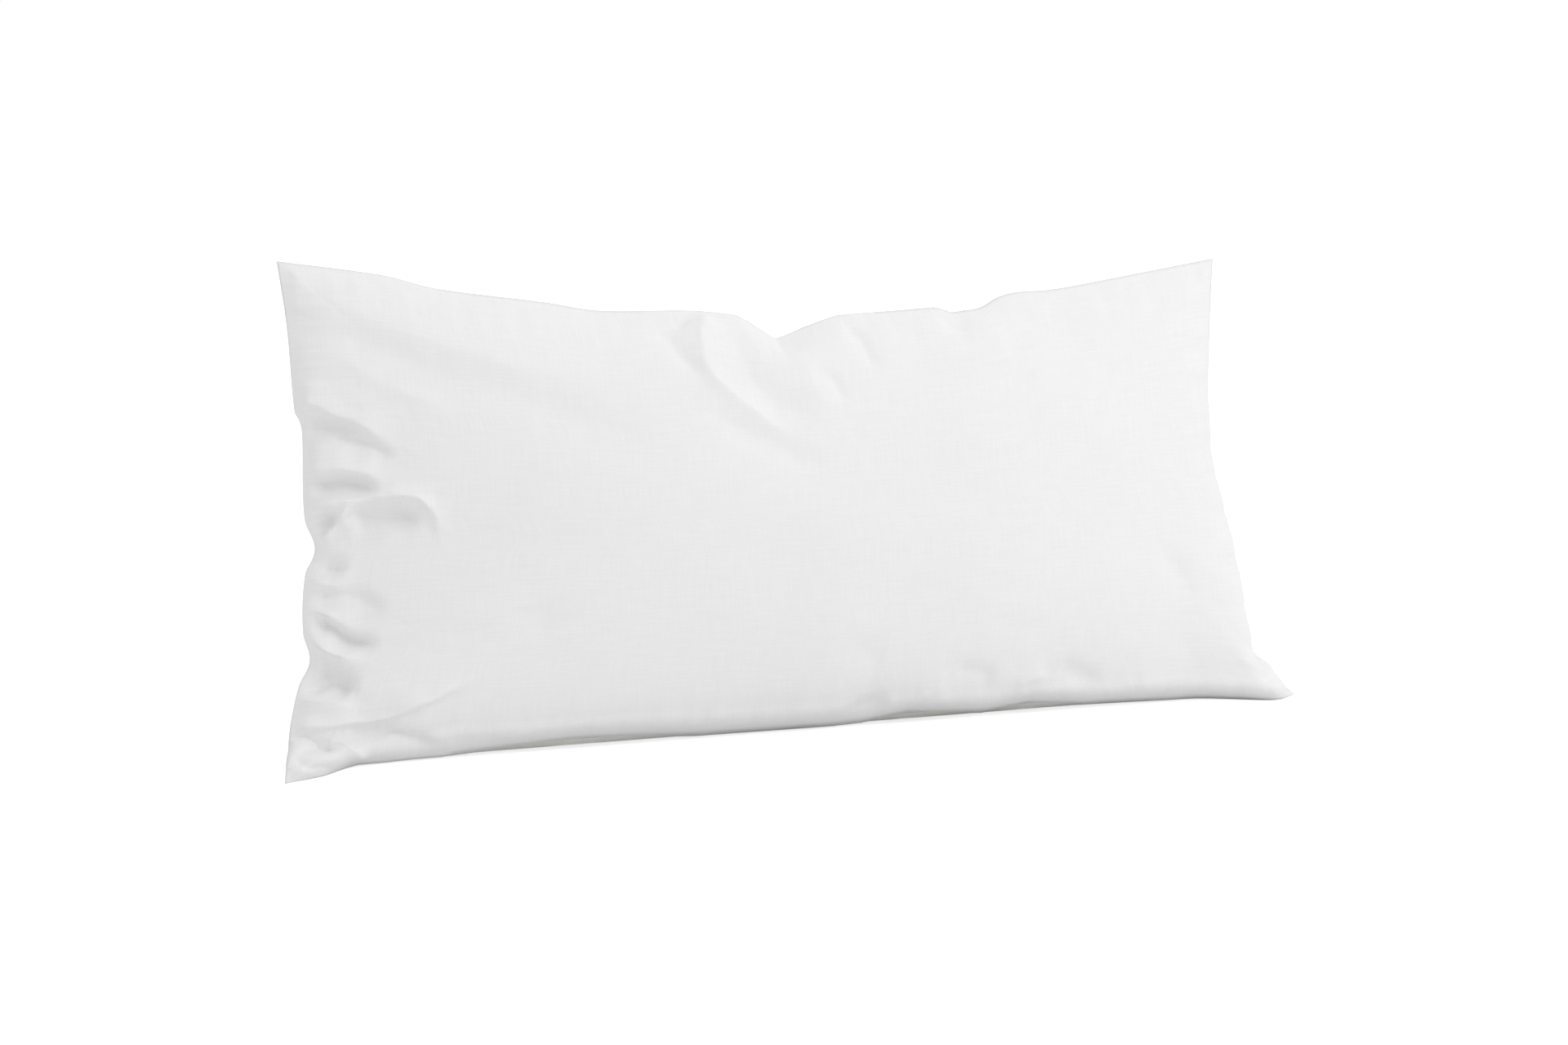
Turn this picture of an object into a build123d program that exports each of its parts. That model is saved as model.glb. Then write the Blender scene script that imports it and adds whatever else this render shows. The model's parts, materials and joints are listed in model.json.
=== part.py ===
"""A bed pillow standing on its long edge: a cotton case with a zip in its left end, an inner pillow and its filling.

Millimetres. +X runs along the pillow, its front faces -Y, and it leans back towards +Y.
All seams lie in one leaning plane through the origin, and the flattened base rests on Z = 0.
Places are given as x along the pillow, h up the seam plane and f in front of that plane.
"""

from build123d import *

import math
import os

os.makedirs("parts", exist_ok=True)

# Overall size and stance
corner_length = 780.0  # from corner to corner along the long seams
corner_height = 376.0  # from corner to corner along the short seams
lean = 15.0  # degrees from upright
side_pinch = 24.0  # how far the middle of a short seam is drawn in
top_sag = 38.0  # how far the middle of the top seam is drawn down

# Stuffed body inside the flat border of the seams
swell = 74.0  # from the blunt edge of the body to its fullest point, front and back alike
edge_half = 5.0  # half the thickness of the body's blunt edge
top_border = 9.0  # flat cloth between the top seam and the body
right_border = 10.0  # flat cloth between the middle of the right seam and the body
widest_at = 0.42  # share of the height at which the body is fullest
front_foot = 0.40  # share of the swell that is left where the front meets the base
back_foot = 0.80
below_floor = 2.0  # how far the uncut body reaches below its base
slice_count = 10  # spaces between the slices that shape the body
height_shares = (0.0, 0.1, 0.22, 0.34, 0.46, 0.6, 0.74, 0.86, 0.95, 1.0)

# Cloth layers, thicker than real cloth so that each is a sound solid
case_wall = 1.5
ticking_wall = 1.2
ticking_gap = 0.6  # between the case and the ticking
filling_gap = 0.5  # between the ticking and the filling
end_share = 1.5  # a layer's inset at its ends and top, as a multiple of its inset in front

# Seams and stitches
case_thread = 0.6
case_seam_inset = 5.0  # from the case's edge to its seam
ticking_thread = 0.5
stitch_length, stitch_width, stitch_thickness = 3.2, 0.5, 0.35
stitch_pitch = 4.0
whip_length, whip_width, whip_thickness = 4.4, 0.6, 0.4
whip_pitch, whip_count = 5.0, 24

# Zip in the left end, behind the front panel's lip
zip_margin = 38.0  # from each corner to the zip
lip_margin = 0.4  # from the middle of the left edge to the turned cloth of the zip
tape_cover = 0.9  # from the back tape's hidden edge to the body
tape_width, tape_thickness = 8.55, 0.5
coil_width, coil_thickness, coil_round = 1.9, 1.8, 0.5
stop_length, stop_thickness = 2.5, 2.2
end_tape = 1.5  # bare tape past a stop
running = 0.3  # clearance round everything that slides
hem_thickness = 1.5  # cloth turned over each side of a tape
hem_lip = 0.5  # cloth round the outer edge of a tape
hem_clearance = 0.45  # between the slider and the turned cloth
window_clearance = 1.0  # from each end of the zip to the cloth beyond it

# Slider and pull tab
slider_length, plate_thickness, rim_width, slider_round = 9.0, 0.9, 0.9, 1.2
post_width, post_length, post_setback = 0.5, 2.5, 1.0
arch_width, arch_bar, arch_span, arch_room = 1.6, 0.8, 5.0, 2.7
pin_radius, pin_room = 0.65, 0.7
pull_thickness, pull_length, pull_neck, pull_end = 0.9, 20.0, 4.2, 6.2
eye_width, eye_length = 2.3, 4.4
pull_hole_radius = 1.1

# Care label on the back, at the foot of the zip
label_length, label_width, label_thickness = 34.0, 24.0, 0.5
label_gap, label_foot = 2.0, 6.0

sine, cosine = math.sin(math.radians(lean)), math.cos(math.radians(lean))
seam_plane = Plane(origin=(0, 0, 0), x_dir=(1, 0, 0), z_dir=(0, -cosine, sine))
half_length = corner_length / 2
waist = half_length - side_pinch  # half the length at mid height

# The zip across its width, from the lip inwards, which also places the body's left end
chain_gap = post_width + 2 * running
chain_half = chain_gap / 2 + coil_width
slider_half = chain_half + running + rim_width
outer_tape_edge = lip_margin + hem_lip - waist
zip_centre = outer_tape_edge + tape_width + chain_gap / 2
inner_tape_edge = zip_centre + chain_gap / 2 + tape_width
front_hem_edge = zip_centre - slider_half - hem_clearance
back_hem_edge = zip_centre + slider_half + hem_clearance
left_end, right_end = -inner_tape_edge - tape_cover, waist - right_border

# The zip along its length
zip_low, zip_high = zip_margin, corner_height - zip_margin
zip_span = (zip_low, zip_high)
coil_low = zip_low + end_tape + stop_length
coil_high = zip_high - end_tape - stop_length
window_span = (zip_low - window_clearance, zip_high + window_clearance)

# The zip from the lip backwards
tape_front_face = -(2 * running + plate_thickness)
tape_back_face = tape_front_face - tape_thickness
coil_back_face = tape_back_face - coil_thickness
hem_back_face = tape_back_face - hem_thickness


def at_seam(x, h, f):
    """The place x along the pillow, h up the seam plane and f in front of it, turned with that plane."""
    return seam_plane.location * Location((x, h, f))


def slab(x_span, h_span, f_span, mode=Mode.ADD):
    """A block between two values of each of x, h and f."""
    middles = [(low + high) / 2 for low, high in (x_span, h_span, f_span)]
    sizes = [high - low for low, high in (x_span, h_span, f_span)]
    with Locations(at_seam(*middles)):
        Box(*sizes, mode=mode)


def seam_height(x):
    """How far up the seam plane the case's top seam is."""
    return corner_height - top_sag * (1 - (x / half_length) ** 2)


def swell_share(share, foot):
    """How much of the swell is reached at a share of the height, with the given share left at the base."""
    if share > widest_at:
        return (1 - ((share - widest_at) / (1 - widest_at)) ** 2) ** 0.75
    closing = widest_at * (1 - foot**2) ** (-1 / 2.2)
    return (1 - ((widest_at - share) / closing) ** 2.2) ** 0.5


def body_ends(inset):
    """The lowest and highest x of a layer that lies inset within the case."""
    return -left_end + end_share * inset, right_end - end_share * inset


def body_slice(x, fullness, inset):
    """One upright slice of a layer, where fullness is from 0 at the ends to 1."""
    edge = edge_half - inset
    top = seam_height(x) - top_border - end_share * inset

    def side(foot, sign):
        depth = edge + swell * fullness * foot
        start = (-below_floor - sign * depth * sine) / cosine
        return [
            (
                start + share * (top - start),
                sign * (edge + swell * fullness * swell_share(share, foot)),
            )
            for share in height_shares
        ]

    front, back = side(front_foot, 1), side(back_foot, -1)
    with BuildSketch(
        Plane(origin=(x, 0, 0), x_dir=(0, sine, cosine), z_dir=(1, 0, 0))
    ) as outline:
        with BuildLine():
            Spline(*front)
            Line(front[-1], back[-1])
            Spline(*reversed(back))
            Line(back[0], front[0])
        make_face()
    return outline.sketch


def body_slices(inset):
    """The slices that a layer is lofted through, closer together towards its ends."""
    low, high = body_ends(inset)
    slices = []
    for i in range(slice_count + 1):
        across = -math.cos(math.pi * i / slice_count)
        fullness = (1 - abs(across) ** 3) ** 0.6
        slices.append(
            body_slice((low + high) / 2 + across * (high - low) / 2, fullness, inset)
        )
    return slices


def case_outline(inset, foot):
    """The case's flat shape in the seam plane, drawn in by inset, down to height foot."""
    side, top = half_length - inset, corner_height - inset
    pinched, middle = side - side_pinch, (foot + top) / 2
    with BuildSketch(seam_plane) as outline:
        with BuildLine():
            Line((-side, foot), (side, foot))
            ThreePointArc((side, foot), (pinched, middle), (side, top))
            ThreePointArc((side, top), (0, top - top_sag), (-side, top))
            ThreePointArc((-side, top), (-pinched, middle), (-side, foot))
        make_face()
    return outline.sketch


def ticking_outline(inset, foot):
    """The ticking's flat shape in the seam plane, at an inset within the case's body, down to height foot."""
    low, high = body_ends(inset)
    drop = top_border + end_share * inset
    with BuildSketch(seam_plane) as outline:
        with BuildLine():
            Line((low, foot), (high, foot))
            Line((high, foot), (high, seam_height(high) - drop))
            ThreePointArc(
                (high, seam_height(high) - drop),
                (0, seam_height(0) - drop),
                (low, seam_height(low) - drop),
            )
            Line((low, seam_height(low) - drop), (low, foot))
        make_face()
    return outline.sketch


# Insets of each layer within the case's outer face
ticking_inset = case_wall + ticking_gap
ticking_hollow_inset = ticking_inset + ticking_wall
filling_inset = ticking_hollow_inset + filling_gap
ticking_floor = case_wall + ticking_wall

# ---------------------------------------------------------------- case volumes
with BuildPart() as case_outside:
    loft(body_slices(0))
    extrude(case_outline(0, -below_floor), amount=case_wall, both=True)
    split(bisect_by=Plane.XY, keep=Keep.TOP)

with BuildPart() as case_hollow:
    loft(body_slices(case_wall))
    split(bisect_by=Plane.XY.offset(case_wall), keep=Keep.TOP)

with BuildPart() as ticking_outside:
    loft(body_slices(ticking_inset))
    split(bisect_by=Plane.XY.offset(case_wall), keep=Keep.TOP)

with BuildPart() as ticking_hollow:
    loft(body_slices(ticking_hollow_inset))
    split(bisect_by=Plane.XY.offset(ticking_floor), keep=Keep.TOP)

# ---------------------------------------------------------------- zip tapes
with BuildPart() as zip_tape_front:
    slab(
        (outer_tape_edge, zip_centre - chain_gap / 2),
        zip_span,
        (tape_back_face, tape_front_face),
    )
zip_tape_front.part.label = "zip_tape_front"
export_step(zip_tape_front.part, "parts/zip_tape_front.step")

with BuildPart() as zip_tape_back:
    slab(
        (zip_centre + chain_gap / 2, inner_tape_edge),
        zip_span,
        (tape_back_face, tape_front_face),
    )
zip_tape_back.part.label = "zip_tape_back"
export_step(zip_tape_back.part, "parts/zip_tape_back.step")

# ---------------------------------------------------------------- zip coils and stops
with BuildPart() as zip_coil_front:
    slab(
        (zip_centre - chain_half, zip_centre - chain_gap / 2),
        (coil_low, coil_high),
        (coil_back_face, tape_back_face),
    )
    back_edges = zip_coil_front.edges().group_by(Axis((0, 0, 0), (0, cosine, -sine)))[-1]
    fillet(back_edges.sort_by(SortBy.LENGTH)[-2:], coil_round)
zip_coil_front.part.label = "zip_coil_front"
export_step(zip_coil_front.part, "parts/zip_coil_front.step")

with BuildPart() as zip_coil_back:
    slab(
        (zip_centre + chain_gap / 2, zip_centre + chain_half),
        (coil_low, coil_high),
        (coil_back_face, tape_back_face),
    )
    back_edges = zip_coil_back.edges().group_by(Axis((0, 0, 0), (0, cosine, -sine)))[-1]
    fillet(back_edges.sort_by(SortBy.LENGTH)[-2:], coil_round)
zip_coil_back.part.label = "zip_coil_back"
export_step(zip_coil_back.part, "parts/zip_coil_back.step")

stop_faces = (tape_back_face - stop_thickness, tape_back_face)

with BuildPart() as zip_top_stops:
    top_stop_span = (coil_high, coil_high + stop_length)
    slab(
        (zip_centre - chain_half, zip_centre - chain_gap / 2), top_stop_span, stop_faces
    )
    slab(
        (zip_centre + chain_gap / 2, zip_centre + chain_half), top_stop_span, stop_faces
    )
zip_top_stops.part.label = "zip_top_stops"
export_step(zip_top_stops.part, "parts/zip_top_stops.step")

with BuildPart() as zip_bottom_stop:
    slab(
        (zip_centre - chain_half, zip_centre + chain_half),
        (coil_low - stop_length, coil_low),
        stop_faces,
    )
zip_bottom_stop.part.label = "zip_bottom_stop"
export_step(zip_bottom_stop.part, "parts/zip_bottom_stop.step")

# ---------------------------------------------------------------- stitches through hems and tapes
with BuildPart() as zip_stitching:
    row_count = int((zip_high - zip_low) // stitch_pitch)
    row_start = (zip_low + zip_high - (row_count - 1) * stitch_pitch) / 2
    row_places = (
        (outer_tape_edge + front_hem_edge) / 2,
        (inner_tape_edge + back_hem_edge) / 2,
    )
    with Locations(
        *[
            at_seam(x, row_start + i * stitch_pitch, hem_back_face - stitch_thickness / 2)
            for x in row_places
            for i in range(row_count)
        ]
    ):
        Box(stitch_width, stitch_length, stitch_thickness)
zip_stitching.part.label = "zip_stitching"
export_step(zip_stitching.part, "parts/zip_stitching.step")

# ---------------------------------------------------------------- case seam thread
with BuildPart() as case_seam_thread:
    thread_low = (case_wall / 2) / cosine - case_thread / 2
    thread_ring = case_outline(case_seam_inset, thread_low) - case_outline(
        case_seam_inset + case_thread, thread_low + case_thread
    )
    extrude(thread_ring, amount=case_thread / 2, both=True)
    slab(
        (-half_length, back_hem_edge),
        window_span,
        (-case_thread, case_thread),
        mode=Mode.SUBTRACT,
    )
case_seam_thread.part.label = "case_seam_thread"
export_step(case_seam_thread.part, "parts/case_seam_thread.step")

# ---------------------------------------------------------------- case panels
with BuildPart() as case_front_panel:
    add(case_outside.part)
    add(case_hollow.part, mode=Mode.SUBTRACT)
    split(bisect_by=seam_plane, keep=Keep.TOP)
    add(case_seam_thread.part, mode=Mode.SUBTRACT)
    slab(
        (outer_tape_edge - hem_lip, front_hem_edge),
        zip_span,
        (hem_back_face, 0),
    )
    add(zip_tape_front.part, mode=Mode.SUBTRACT)
case_front_panel.part.label = "case_front_panel"
export_step(case_front_panel.part, "parts/case_front_panel.step")

with BuildPart() as case_back_panel:
    add(case_outside.part)
    add(case_hollow.part, mode=Mode.SUBTRACT)
    split(bisect_by=seam_plane, keep=Keep.BOTTOM)
    add(case_seam_thread.part, mode=Mode.SUBTRACT)
    slab(
        (-corner_length, back_hem_edge),
        window_span,
        (-corner_length, 0),
        mode=Mode.SUBTRACT,
    )
    slab(
        (back_hem_edge, -left_end + case_wall),
        zip_span,
        (hem_back_face, 0),
    )
    add(zip_tape_back.part, mode=Mode.SUBTRACT)
case_back_panel.part.label = "case_back_panel"
export_step(case_back_panel.part, "parts/case_back_panel.step")

with BuildPart() as care_label:
    label_start = -left_end - label_gap - label_length
    slab(
        (label_start, label_start + label_length),
        (label_foot, label_foot + label_width),
        (-case_wall - label_thickness, -case_wall),
    )
care_label.part.label = "care_label"
export_step(care_label.part, "parts/care_label.step")

# ---------------------------------------------------------------- slider and pull tab
slider_middle = coil_high - running - slider_length / 2
front_plate_faces = (-running - plate_thickness, -running)
inner_back_face = coil_back_face - running
outer_back_face = inner_back_face - plate_thickness
pin_depth = outer_back_face - pin_room - pin_radius
slider_top = slider_middle + slider_length / 2

with BuildPart() as zip_slider:
    with BuildSketch(seam_plane.offset(outer_back_face)):
        with Locations((zip_centre, slider_middle)):
            RectangleRounded(2 * slider_half, slider_length, slider_round)
    extrude(amount=plate_thickness)
    with BuildSketch(seam_plane.offset(front_plate_faces[0])):
        with Locations((zip_centre, slider_middle)):
            RectangleRounded(2 * slider_half, slider_length, slider_round)
    extrude(amount=plate_thickness)
    rim_span = (
        slider_middle - slider_length / 2 + slider_round,
        slider_top - slider_round,
    )
    for side in (-1, 1):
        outer, inner = side * slider_half, side * (slider_half - rim_width)
        slab(
            (zip_centre + min(outer, inner), zip_centre + max(outer, inner)),
            rim_span,
            (inner_back_face, tape_back_face - running),
        )
    slab(
        (zip_centre - post_width / 2, zip_centre + post_width / 2),
        (slider_top - post_setback - post_length, slider_top - post_setback),
        (inner_back_face, front_plate_faces[0]),
    )
    arch_half = arch_span / 2
    with BuildSketch(
        Plane(
            origin=at_seam(zip_centre, slider_middle, outer_back_face).position,
            x_dir=(0, sine, cosine),
            z_dir=(1, 0, 0),
        )
    ):
        with BuildLine():
            Polyline(
                (-arch_half - arch_bar, 0),
                (-arch_half - arch_bar, -arch_room),
                (-arch_half, -arch_room - arch_bar),
                (arch_half, -arch_room - arch_bar),
                (arch_half + arch_bar, -arch_room),
                (arch_half + arch_bar, 0),
                (arch_half, 0),
                (arch_half, -arch_room),
                (-arch_half, -arch_room),
                (-arch_half, 0),
                close=True,
            )
        make_face()
    extrude(amount=arch_width / 2, both=True)
zip_slider.part.label = "zip_slider"
export_step(zip_slider.part, "parts/zip_slider.step")

pin_place = at_seam(zip_centre, slider_middle, pin_depth).position

with BuildPart() as zip_pull_tab:
    with BuildSketch(Plane(origin=pin_place, x_dir=(1, 0, 0), z_dir=(0, 1, 0))):
        with BuildLine():
            Polyline(
                (-pull_neck / 2, -pin_radius),
                (pull_neck / 2, -pin_radius),
                (pull_neck / 2, eye_length + 1),
                (pull_end / 2, pull_length - pull_end / 2),
            )
            ThreePointArc(
                (pull_end / 2, pull_length - pull_end / 2),
                (0, pull_length),
                (-pull_end / 2, pull_length - pull_end / 2),
            )
            Polyline(
                (-pull_end / 2, pull_length - pull_end / 2),
                (-pull_neck / 2, eye_length + 1),
                (-pull_neck / 2, -pin_radius),
            )
        make_face()
        with Locations((0, (eye_length - pin_radius) / 2)):
            Rectangle(eye_width, eye_length + pin_radius, mode=Mode.SUBTRACT)
        with Locations((0, -pin_radius)):
            Rectangle(eye_width, pin_radius, mode=Mode.SUBTRACT)
        with Locations((0, pull_length - pull_end / 2)):
            Circle(pull_hole_radius, mode=Mode.SUBTRACT)
    extrude(amount=pull_thickness / 2, both=True)
    with Locations(Location(pin_place, (0, 90, 0))):
        Cylinder(pin_radius, pull_neck)
zip_pull_tab.part.label = "zip_pull_tab"
export_step(zip_pull_tab.part, "parts/zip_pull_tab.step")

# ---------------------------------------------------------------- inner pillow
with BuildPart() as ticking_seam_thread:
    ring_inset = ticking_inset + (ticking_wall - ticking_thread / end_share) / 2
    ring_low = (case_wall + ticking_wall / 2) / cosine - ticking_thread / 2
    ticking_ring = ticking_outline(ring_inset, ring_low) - ticking_outline(
        ring_inset + ticking_thread / end_share, ring_low + ticking_thread
    )
    extrude(ticking_ring, amount=ticking_thread / 2, both=True)
ticking_seam_thread.part.label = "ticking_seam_thread"
export_step(ticking_seam_thread.part, "parts/ticking_seam_thread.step")

with BuildPart() as ticking_front_panel:
    add(ticking_outside.part)
    add(ticking_hollow.part, mode=Mode.SUBTRACT)
    split(bisect_by=seam_plane, keep=Keep.TOP)
    add(ticking_seam_thread.part, mode=Mode.SUBTRACT)
ticking_front_panel.part.label = "ticking_front_panel"
export_step(ticking_front_panel.part, "parts/ticking_front_panel.step")

with BuildPart() as ticking_back_panel:
    add(ticking_outside.part)
    add(ticking_hollow.part, mode=Mode.SUBTRACT)
    split(bisect_by=seam_plane, keep=Keep.BOTTOM)
    add(ticking_seam_thread.part, mode=Mode.SUBTRACT)
ticking_back_panel.part.label = "ticking_back_panel"
export_step(ticking_back_panel.part, "parts/ticking_back_panel.step")

with BuildPart() as ticking_closing_stitches:
    ticking_right = body_ends(ticking_inset)[1]
    whip_start = (corner_height - (whip_count - 1) * whip_pitch) / 2
    with Locations(
        *[
            at_seam(ticking_right + whip_thickness / 2, whip_start + i * whip_pitch, 0)
            for i in range(whip_count)
        ]
    ):
        Box(whip_thickness, whip_width, whip_length)
ticking_closing_stitches.part.label = "ticking_closing_stitches"
export_step(ticking_closing_stitches.part, "parts/ticking_closing_stitches.step")

with BuildPart() as fibre_filling:
    loft(body_slices(filling_inset))
    split(bisect_by=Plane.XY.offset(ticking_floor), keep=Keep.TOP)
fibre_filling.part.label = "fibre_filling"
export_step(fibre_filling.part, "parts/fibre_filling.step")

travel = (coil_high - coil_low) - slider_length - 2 * running
print("pull hinge at", tuple(round(v, 4) for v in pin_place))
print("slide axis", (0, round(sine, 6), round(cosine, 6)), "travel", round(travel, 3))
print("base middle", tuple(round(v, 3) for v in case_outside.faces().sort_by(Axis.Z)[0].center()))
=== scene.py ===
"""Looks of a bed pillow: a sewn cotton case over a stuffed inner pillow, with a zip in its left end.

Lengths are in metres. Most pieces are shaped in the seam plane's own directions, which are
x along the pillow, h up the leaning seam plane and f in front of it, and are then stood up.
"""

import json
import math

import bmesh
import bpy
import numpy as np
from bpy.props import FloatProperty, FloatVectorProperty, IntProperty, PointerProperty
from mathutils import Matrix, Vector, noise
from mathutils.bvhtree import BVHTree


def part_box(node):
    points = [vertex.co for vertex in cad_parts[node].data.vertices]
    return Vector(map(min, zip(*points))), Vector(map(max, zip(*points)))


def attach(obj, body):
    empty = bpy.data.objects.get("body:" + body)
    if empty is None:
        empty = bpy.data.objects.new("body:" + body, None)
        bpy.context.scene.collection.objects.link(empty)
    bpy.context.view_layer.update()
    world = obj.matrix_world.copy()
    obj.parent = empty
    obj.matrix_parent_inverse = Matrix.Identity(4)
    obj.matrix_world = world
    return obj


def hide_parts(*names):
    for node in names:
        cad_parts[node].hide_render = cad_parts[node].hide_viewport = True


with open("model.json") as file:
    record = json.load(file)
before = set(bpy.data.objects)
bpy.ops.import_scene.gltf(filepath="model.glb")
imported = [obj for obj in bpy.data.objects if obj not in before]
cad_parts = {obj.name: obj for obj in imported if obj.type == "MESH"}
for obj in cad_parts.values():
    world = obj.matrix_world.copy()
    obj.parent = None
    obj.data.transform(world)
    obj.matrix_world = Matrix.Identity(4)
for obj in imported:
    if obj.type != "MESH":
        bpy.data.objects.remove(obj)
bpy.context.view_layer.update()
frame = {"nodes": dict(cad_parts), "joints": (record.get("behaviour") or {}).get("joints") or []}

bl_info = {
    "name": "Bed Pillow",
    "version": (1, 0, 0),
    "blender": (4, 5, 0),
    "location": "View3D > Sidebar > Pillow",
    "description": "Makes a bed pillow with its case, zip, inner pillow and filling",
    "category": "Object",
}

SLIDE_AXIS = Vector(frame["joints"][0]["axis"]).normalized()
STAND = Matrix(
    (
        (1, 0, 0, 0),
        (0, SLIDE_AXIS.y, -SLIDE_AXIS.z, 0),
        (0, SLIDE_AXIS.z, SLIDE_AXIS.y, 0),
        (0, 0, 0, 1),
    )
)
LAY_DOWN = STAND.inverted()


def reach(node):
    """Lowest and highest x, h and f of a CAD node."""
    places = np.array([LAY_DOWN @ v.co for v in frame["nodes"][node].data.vertices])
    return Vector(places.min(0)), Vector(places.max(0))


FRONT_TAPE, BACK_TAPE = reach("zip_tape_front"), reach("zip_tape_back")
FRONT_COIL, BACK_COIL = reach("zip_coil_front"), reach("zip_coil_back")
CHAIN_X = (FRONT_TAPE[1].x + BACK_TAPE[0].x) / 2
ZIP_LOW, ZIP_HIGH = FRONT_TAPE[0].y, FRONT_TAPE[1].y
TAPE_FRONT, TAPE_BACK = FRONT_TAPE[1].z, FRONT_TAPE[0].z
SLIDER = reach("zip_slider")
HEM_BACK = reach("zip_stitching")[1].z
HINGE_JOINT = [joint for joint in frame["joints"] if "pos_m" in joint][0]
HINGE, TAB_LIMITS = LAY_DOWN @ Vector(HINGE_JOINT["pos_m"]), HINGE_JOINT["range_deg"]
PULL_TAB = reach("zip_pull_tab")
SLIDE_DOWN = -frame["joints"][0]["range_m"][0]
FRONT_HEM_EDGE = SLIDER[0].x - 0.00045
BACK_HEM_EDGE = SLIDER[1].x + 0.00045


def metres(*rows):
    """Rows of millimetres as rows of metres."""
    return [tuple(value / 1000 for value in row) for row in rows]


# Sewn edge of the case as it stands: x, h and f of places along each side, in millimetres
TOP_SEAM = metres(
    (-391, 375.5, 0), (-312, 364, 0), (-276, 354, 0), (-191, 342, 0), (-150, 335, 0), (-75, 334, 0),
    (-35, 329.5, 0), (-9, 324, 2), (18, 325, 3), (46, 328.5, 1), (100, 332, 0), (142, 334, 4),
    (168, 333.5, 5), (184, 340.5, 1), (202, 345.5, 0), (236, 347.5, 0), (326, 362, 0), (391, 373, 0),
)
LEFT_SEAM = metres(
    (-410, -7.6, 32), (-407.5, 8, 24), (-404, 18, 12), (-402.5, 28, 4), (-393, 62, 0), (-384, 79, 0),
    (-388, 100, 0), (-384, 142, 0), (-375.5, 160, 0), (-382, 183, 0), (-380, 248, 0), (-381.5, 256, 0),
    (-384.5, 262, 0), (-386.5, 326, 0), (-391, 375.5, 0),
)
RIGHT_SEAM = metres(
    (419, -1, 8), (408, 14, 4), (397, 30, 2), (388.5, 38, 0), (386, 63, 0), (375, 159, 0),
    (369, 194, 0), (372, 248, 0), (382, 320, 0), (391, 373, 0),
)
FOOT_SEAM = metres(
    (-410, -7.6, 32), (-385, -5, 22), (-356, 1, 4), (-300, 4, 0), (0, 4, 0), (320, 3, 2),
    (366, -1, 12), (394, -5, 22), (419, -1, 8),
)

TAB_ROOM = 0.0011  # from the middle of the pull tab's thickness to the cloth that it swings over
PUCKERED = 0.125  # how far the small folds reach from the zip's end
PUCKER_REACH = 0.05  # how far the puckers of the stitching reach from a seam
PUCKER_DEPTHS = (0.0020, 0.0020, 0.0008, 0.0008)  # along the left, right, foot and top seams
SEAM_INSET, SEAM_PITCH = 0.004, 0.003
TURN_STEP = 0.0015  # how much cloth each step of a turned hem takes
TICKING_CUT = (0.76, 0.36)
SHARP = math.radians(50)  # edges of the zip's parts that turn by more than this stay crisp
WHITE = (1, 1, 1, 1)
COLOUR = {"subtype": "COLOR", "size": 3, "min": 0, "max": 1}

# Where the stuffed edge is pinched down: x, depth, and its reach to the left and the right, in millimetres
PINCHES = metres(
    (-9, 14, 30, 56), (143, 5.5, 14, 44),
)

# How far the front's foot is off the floor at places along x, in millimetres
FOOT_LIFT = metres(
    (-380, 0), (-355, 2), (-335, 0.5), (-296, 0), (-243, 2.5), (-194, 5), (-150, 3.5), (-100, 0.5),
    (10, 0), (35, 0.8), (73, 5.5), (108, 3), (138, 1.2), (177, 5.8), (225, 1.6), (300, 0.4), (420, 0),
)

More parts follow.
